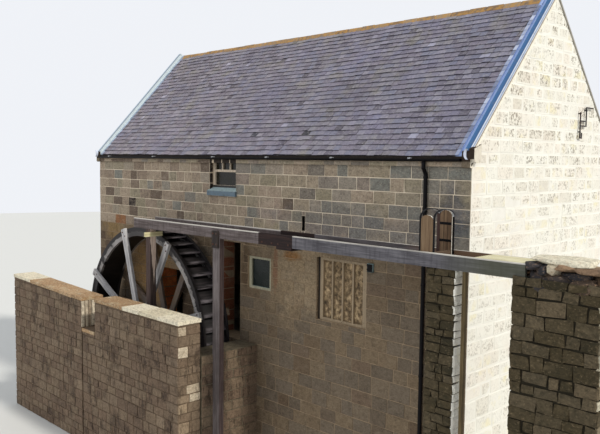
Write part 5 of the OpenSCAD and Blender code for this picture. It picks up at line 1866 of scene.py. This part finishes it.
# %% The wheel's bolts
ARMS, FIRST_ARM = 8, 17  # degrees from upright
low, high = local_box("wheel_arms")
pile = Pile(64)
for k in range(ARMS):
    a = math.radians(FIRST_ARM - 360 / ARMS * k)
    for radius, across in ((2.60, 0.045), (2.72, -0.045), (0.36, 0.05), (0.36, -0.05)):
        x = AXLE_X - radius * math.sin(a) + across * math.cos(a)
        z = AXLE_Z + radius * math.cos(a) + across * math.sin(a)
        for y, out in ((low.y, -1), (high.y, 1)):
            bolt(pile, at(x, y, z), (0, out, 0), 0.013)
pile.build("wheel_bolts", "wheel", "rusty_iron", RUSTY)

# %% [markdown]
# The open doorway shows a flagged floor and the beams and boards over it, so these get
# finishes too.

# %% Floors
def flags_finish():
    """Stone flags with dark joints between them."""
    it = Finish("stone flags", Specular_IOR_Level=0.3)
    lines = [((it.axis(letter) / pitch).math("FRACT") - 0.5).math("ABSOLUTE").over(0.488, 0.496)
             for letter, pitch in (("X", 0.9), ("Y", 0.6))]
    gap = lines[0].math("MAXIMUM", lines[1])
    colour = it.patches((0.42, 0.39, 0.34), (0.30, 0.28, 0.25), 0.4, (0.4, 0.7), detail=5.0)
    return it.end(Base_Color=it.mix(colour, (0.12, 0.11, 0.10), gap),
                  Roughness=it.noise(0.2) * 0.3 + 0.6,
                  Normal=it.bump(it.noise(0.05) - gap, 0.006, 0.7))


dress(flags_finish(), "ground_floor")
dress(wood("floor boards", (0.24, 0.18, 0.13), (0.38, 0.30, 0.22), (0.48, 0.39, 0.30),
           boards=("Y", 0.18, 0.0)), "upper_floor")
dress(wood("beam oak", (0.20, 0.15, 0.11), (0.32, 0.25, 0.19), (0.42, 0.34, 0.27), "y"),
      "floor_beams")
print("floors dressed")

# %% [markdown]
# At the foot of each verge, in front and behind, the lead is dressed over the gutter in a
# small bright lip. It is a crescent of short blocks that gets thinner towards its horns.

# %% Lead lips over the gutter
LIP_IN, LIP_STEPS = 0.01, 8
pile = Pile(65)
for flip in (False, True):
    for start, way in ((-LIP_IN, 1), (HOUSE_LEFT + LIP_IN, -1)):
        path = []
        for k in range(LIP_STEPS + 1):
            a = math.radians(-78 + 156 / LIP_STEPS * k)
            path.append((start - way * 0.062 * math.cos(a), 7.745 + 0.10 * math.sin(a),
                         0.012 - 0.008 * abs(math.sin(a))))
        for pair in zip(path, path[1:]):
            points = [at(x + side * thick, HOUSE_BACK - y if flip else y, z)
                      for x, z, thick in pair for side in (-1, 1) for y in (-0.172, -0.10)]
            solid(pile, points, BLOCK_FACES, 1.0)
pile.build("lead_lips", "mill", "slate", LEAD)

# %% [markdown]
# The light is that of a plain studio: a pale world all round, one soft lamp from the right
# that stands for a low sun, and a weak one from the front. A pale floor takes the shadow.

# %% The world
world = bpy.data.worlds.new("studio")
bpy.context.scene.world = world
world.use_nodes = True
tree = world.node_tree
paths = tree.nodes.new("ShaderNodeLightPath")
seen = paths.outputs["Is Camera Ray"]
for ray in ("Is Glossy Ray", "Is Transmission Ray"):
    also = tree.nodes.new("ShaderNodeMath")
    also.operation = "MAXIMUM"
    tree.links.new(seen, also.inputs[0])
    tree.links.new(paths.outputs[ray], also.inputs[1])
    seen = also.outputs[0]
lit = tree.nodes["Background"]
lit.inputs["Color"].default_value = (0.92, 0.96, 1.0, 1.0)
lit.inputs["Strength"].default_value = 0.62
shown = tree.nodes.new("ShaderNodeBackground")
shown.inputs["Color"].default_value = rgba((0.94, 0.95, 0.97))
choose = tree.nodes.new("ShaderNodeMixShader")
for place, output in enumerate((seen, lit.outputs[0], shown.outputs[0])):
    tree.links.new(output, choose.inputs[place])
tree.links.new(choose.outputs[0], tree.nodes["World Output"].inputs["Surface"])
print("world made")

# %% [markdown]
# The key lamp is hard enough to draw the joints of the stones. The fill is so wide that it
# throws no shadow one could see.

# %% Lamps and floor
def sun(name, direction, strength, spread, colour):
    """A soft far lamp that shines from the given direction."""
    lamp = bpy.data.lights.new(name, "SUN")
    lamp.energy, lamp.angle, lamp.color = strength, math.radians(spread), colour
    made = in_scene(name, lamp)
    made.rotation_euler = Vector(direction).to_track_quat("Z", "Y").to_euler()
    print(name, "lamp made")


sun("key", (0.80, 0.06, 0.62), 2.3, 5.0, (1.0, 0.96, 0.88))
sun("fill", (-0.25, -0.85, 0.45), 0.55, 50.0, (1.0, 1.0, 1.0))

bpy.ops.mesh.primitive_circle_add(vertices=128, radius=90.0, fill_type="NGON",
                                  location=(0, 0, -0.002))
floor = bpy.context.object
floor.name = "floor"
it = Finish("pale floor", Roughness=0.9, Specular_IOR_Level=0.1)
floor.data.materials.append(it.end(Base_Color=rgba((0.86, 0.86, 0.85))))
bpy.context.scene.view_settings.view_transform = "Standard"
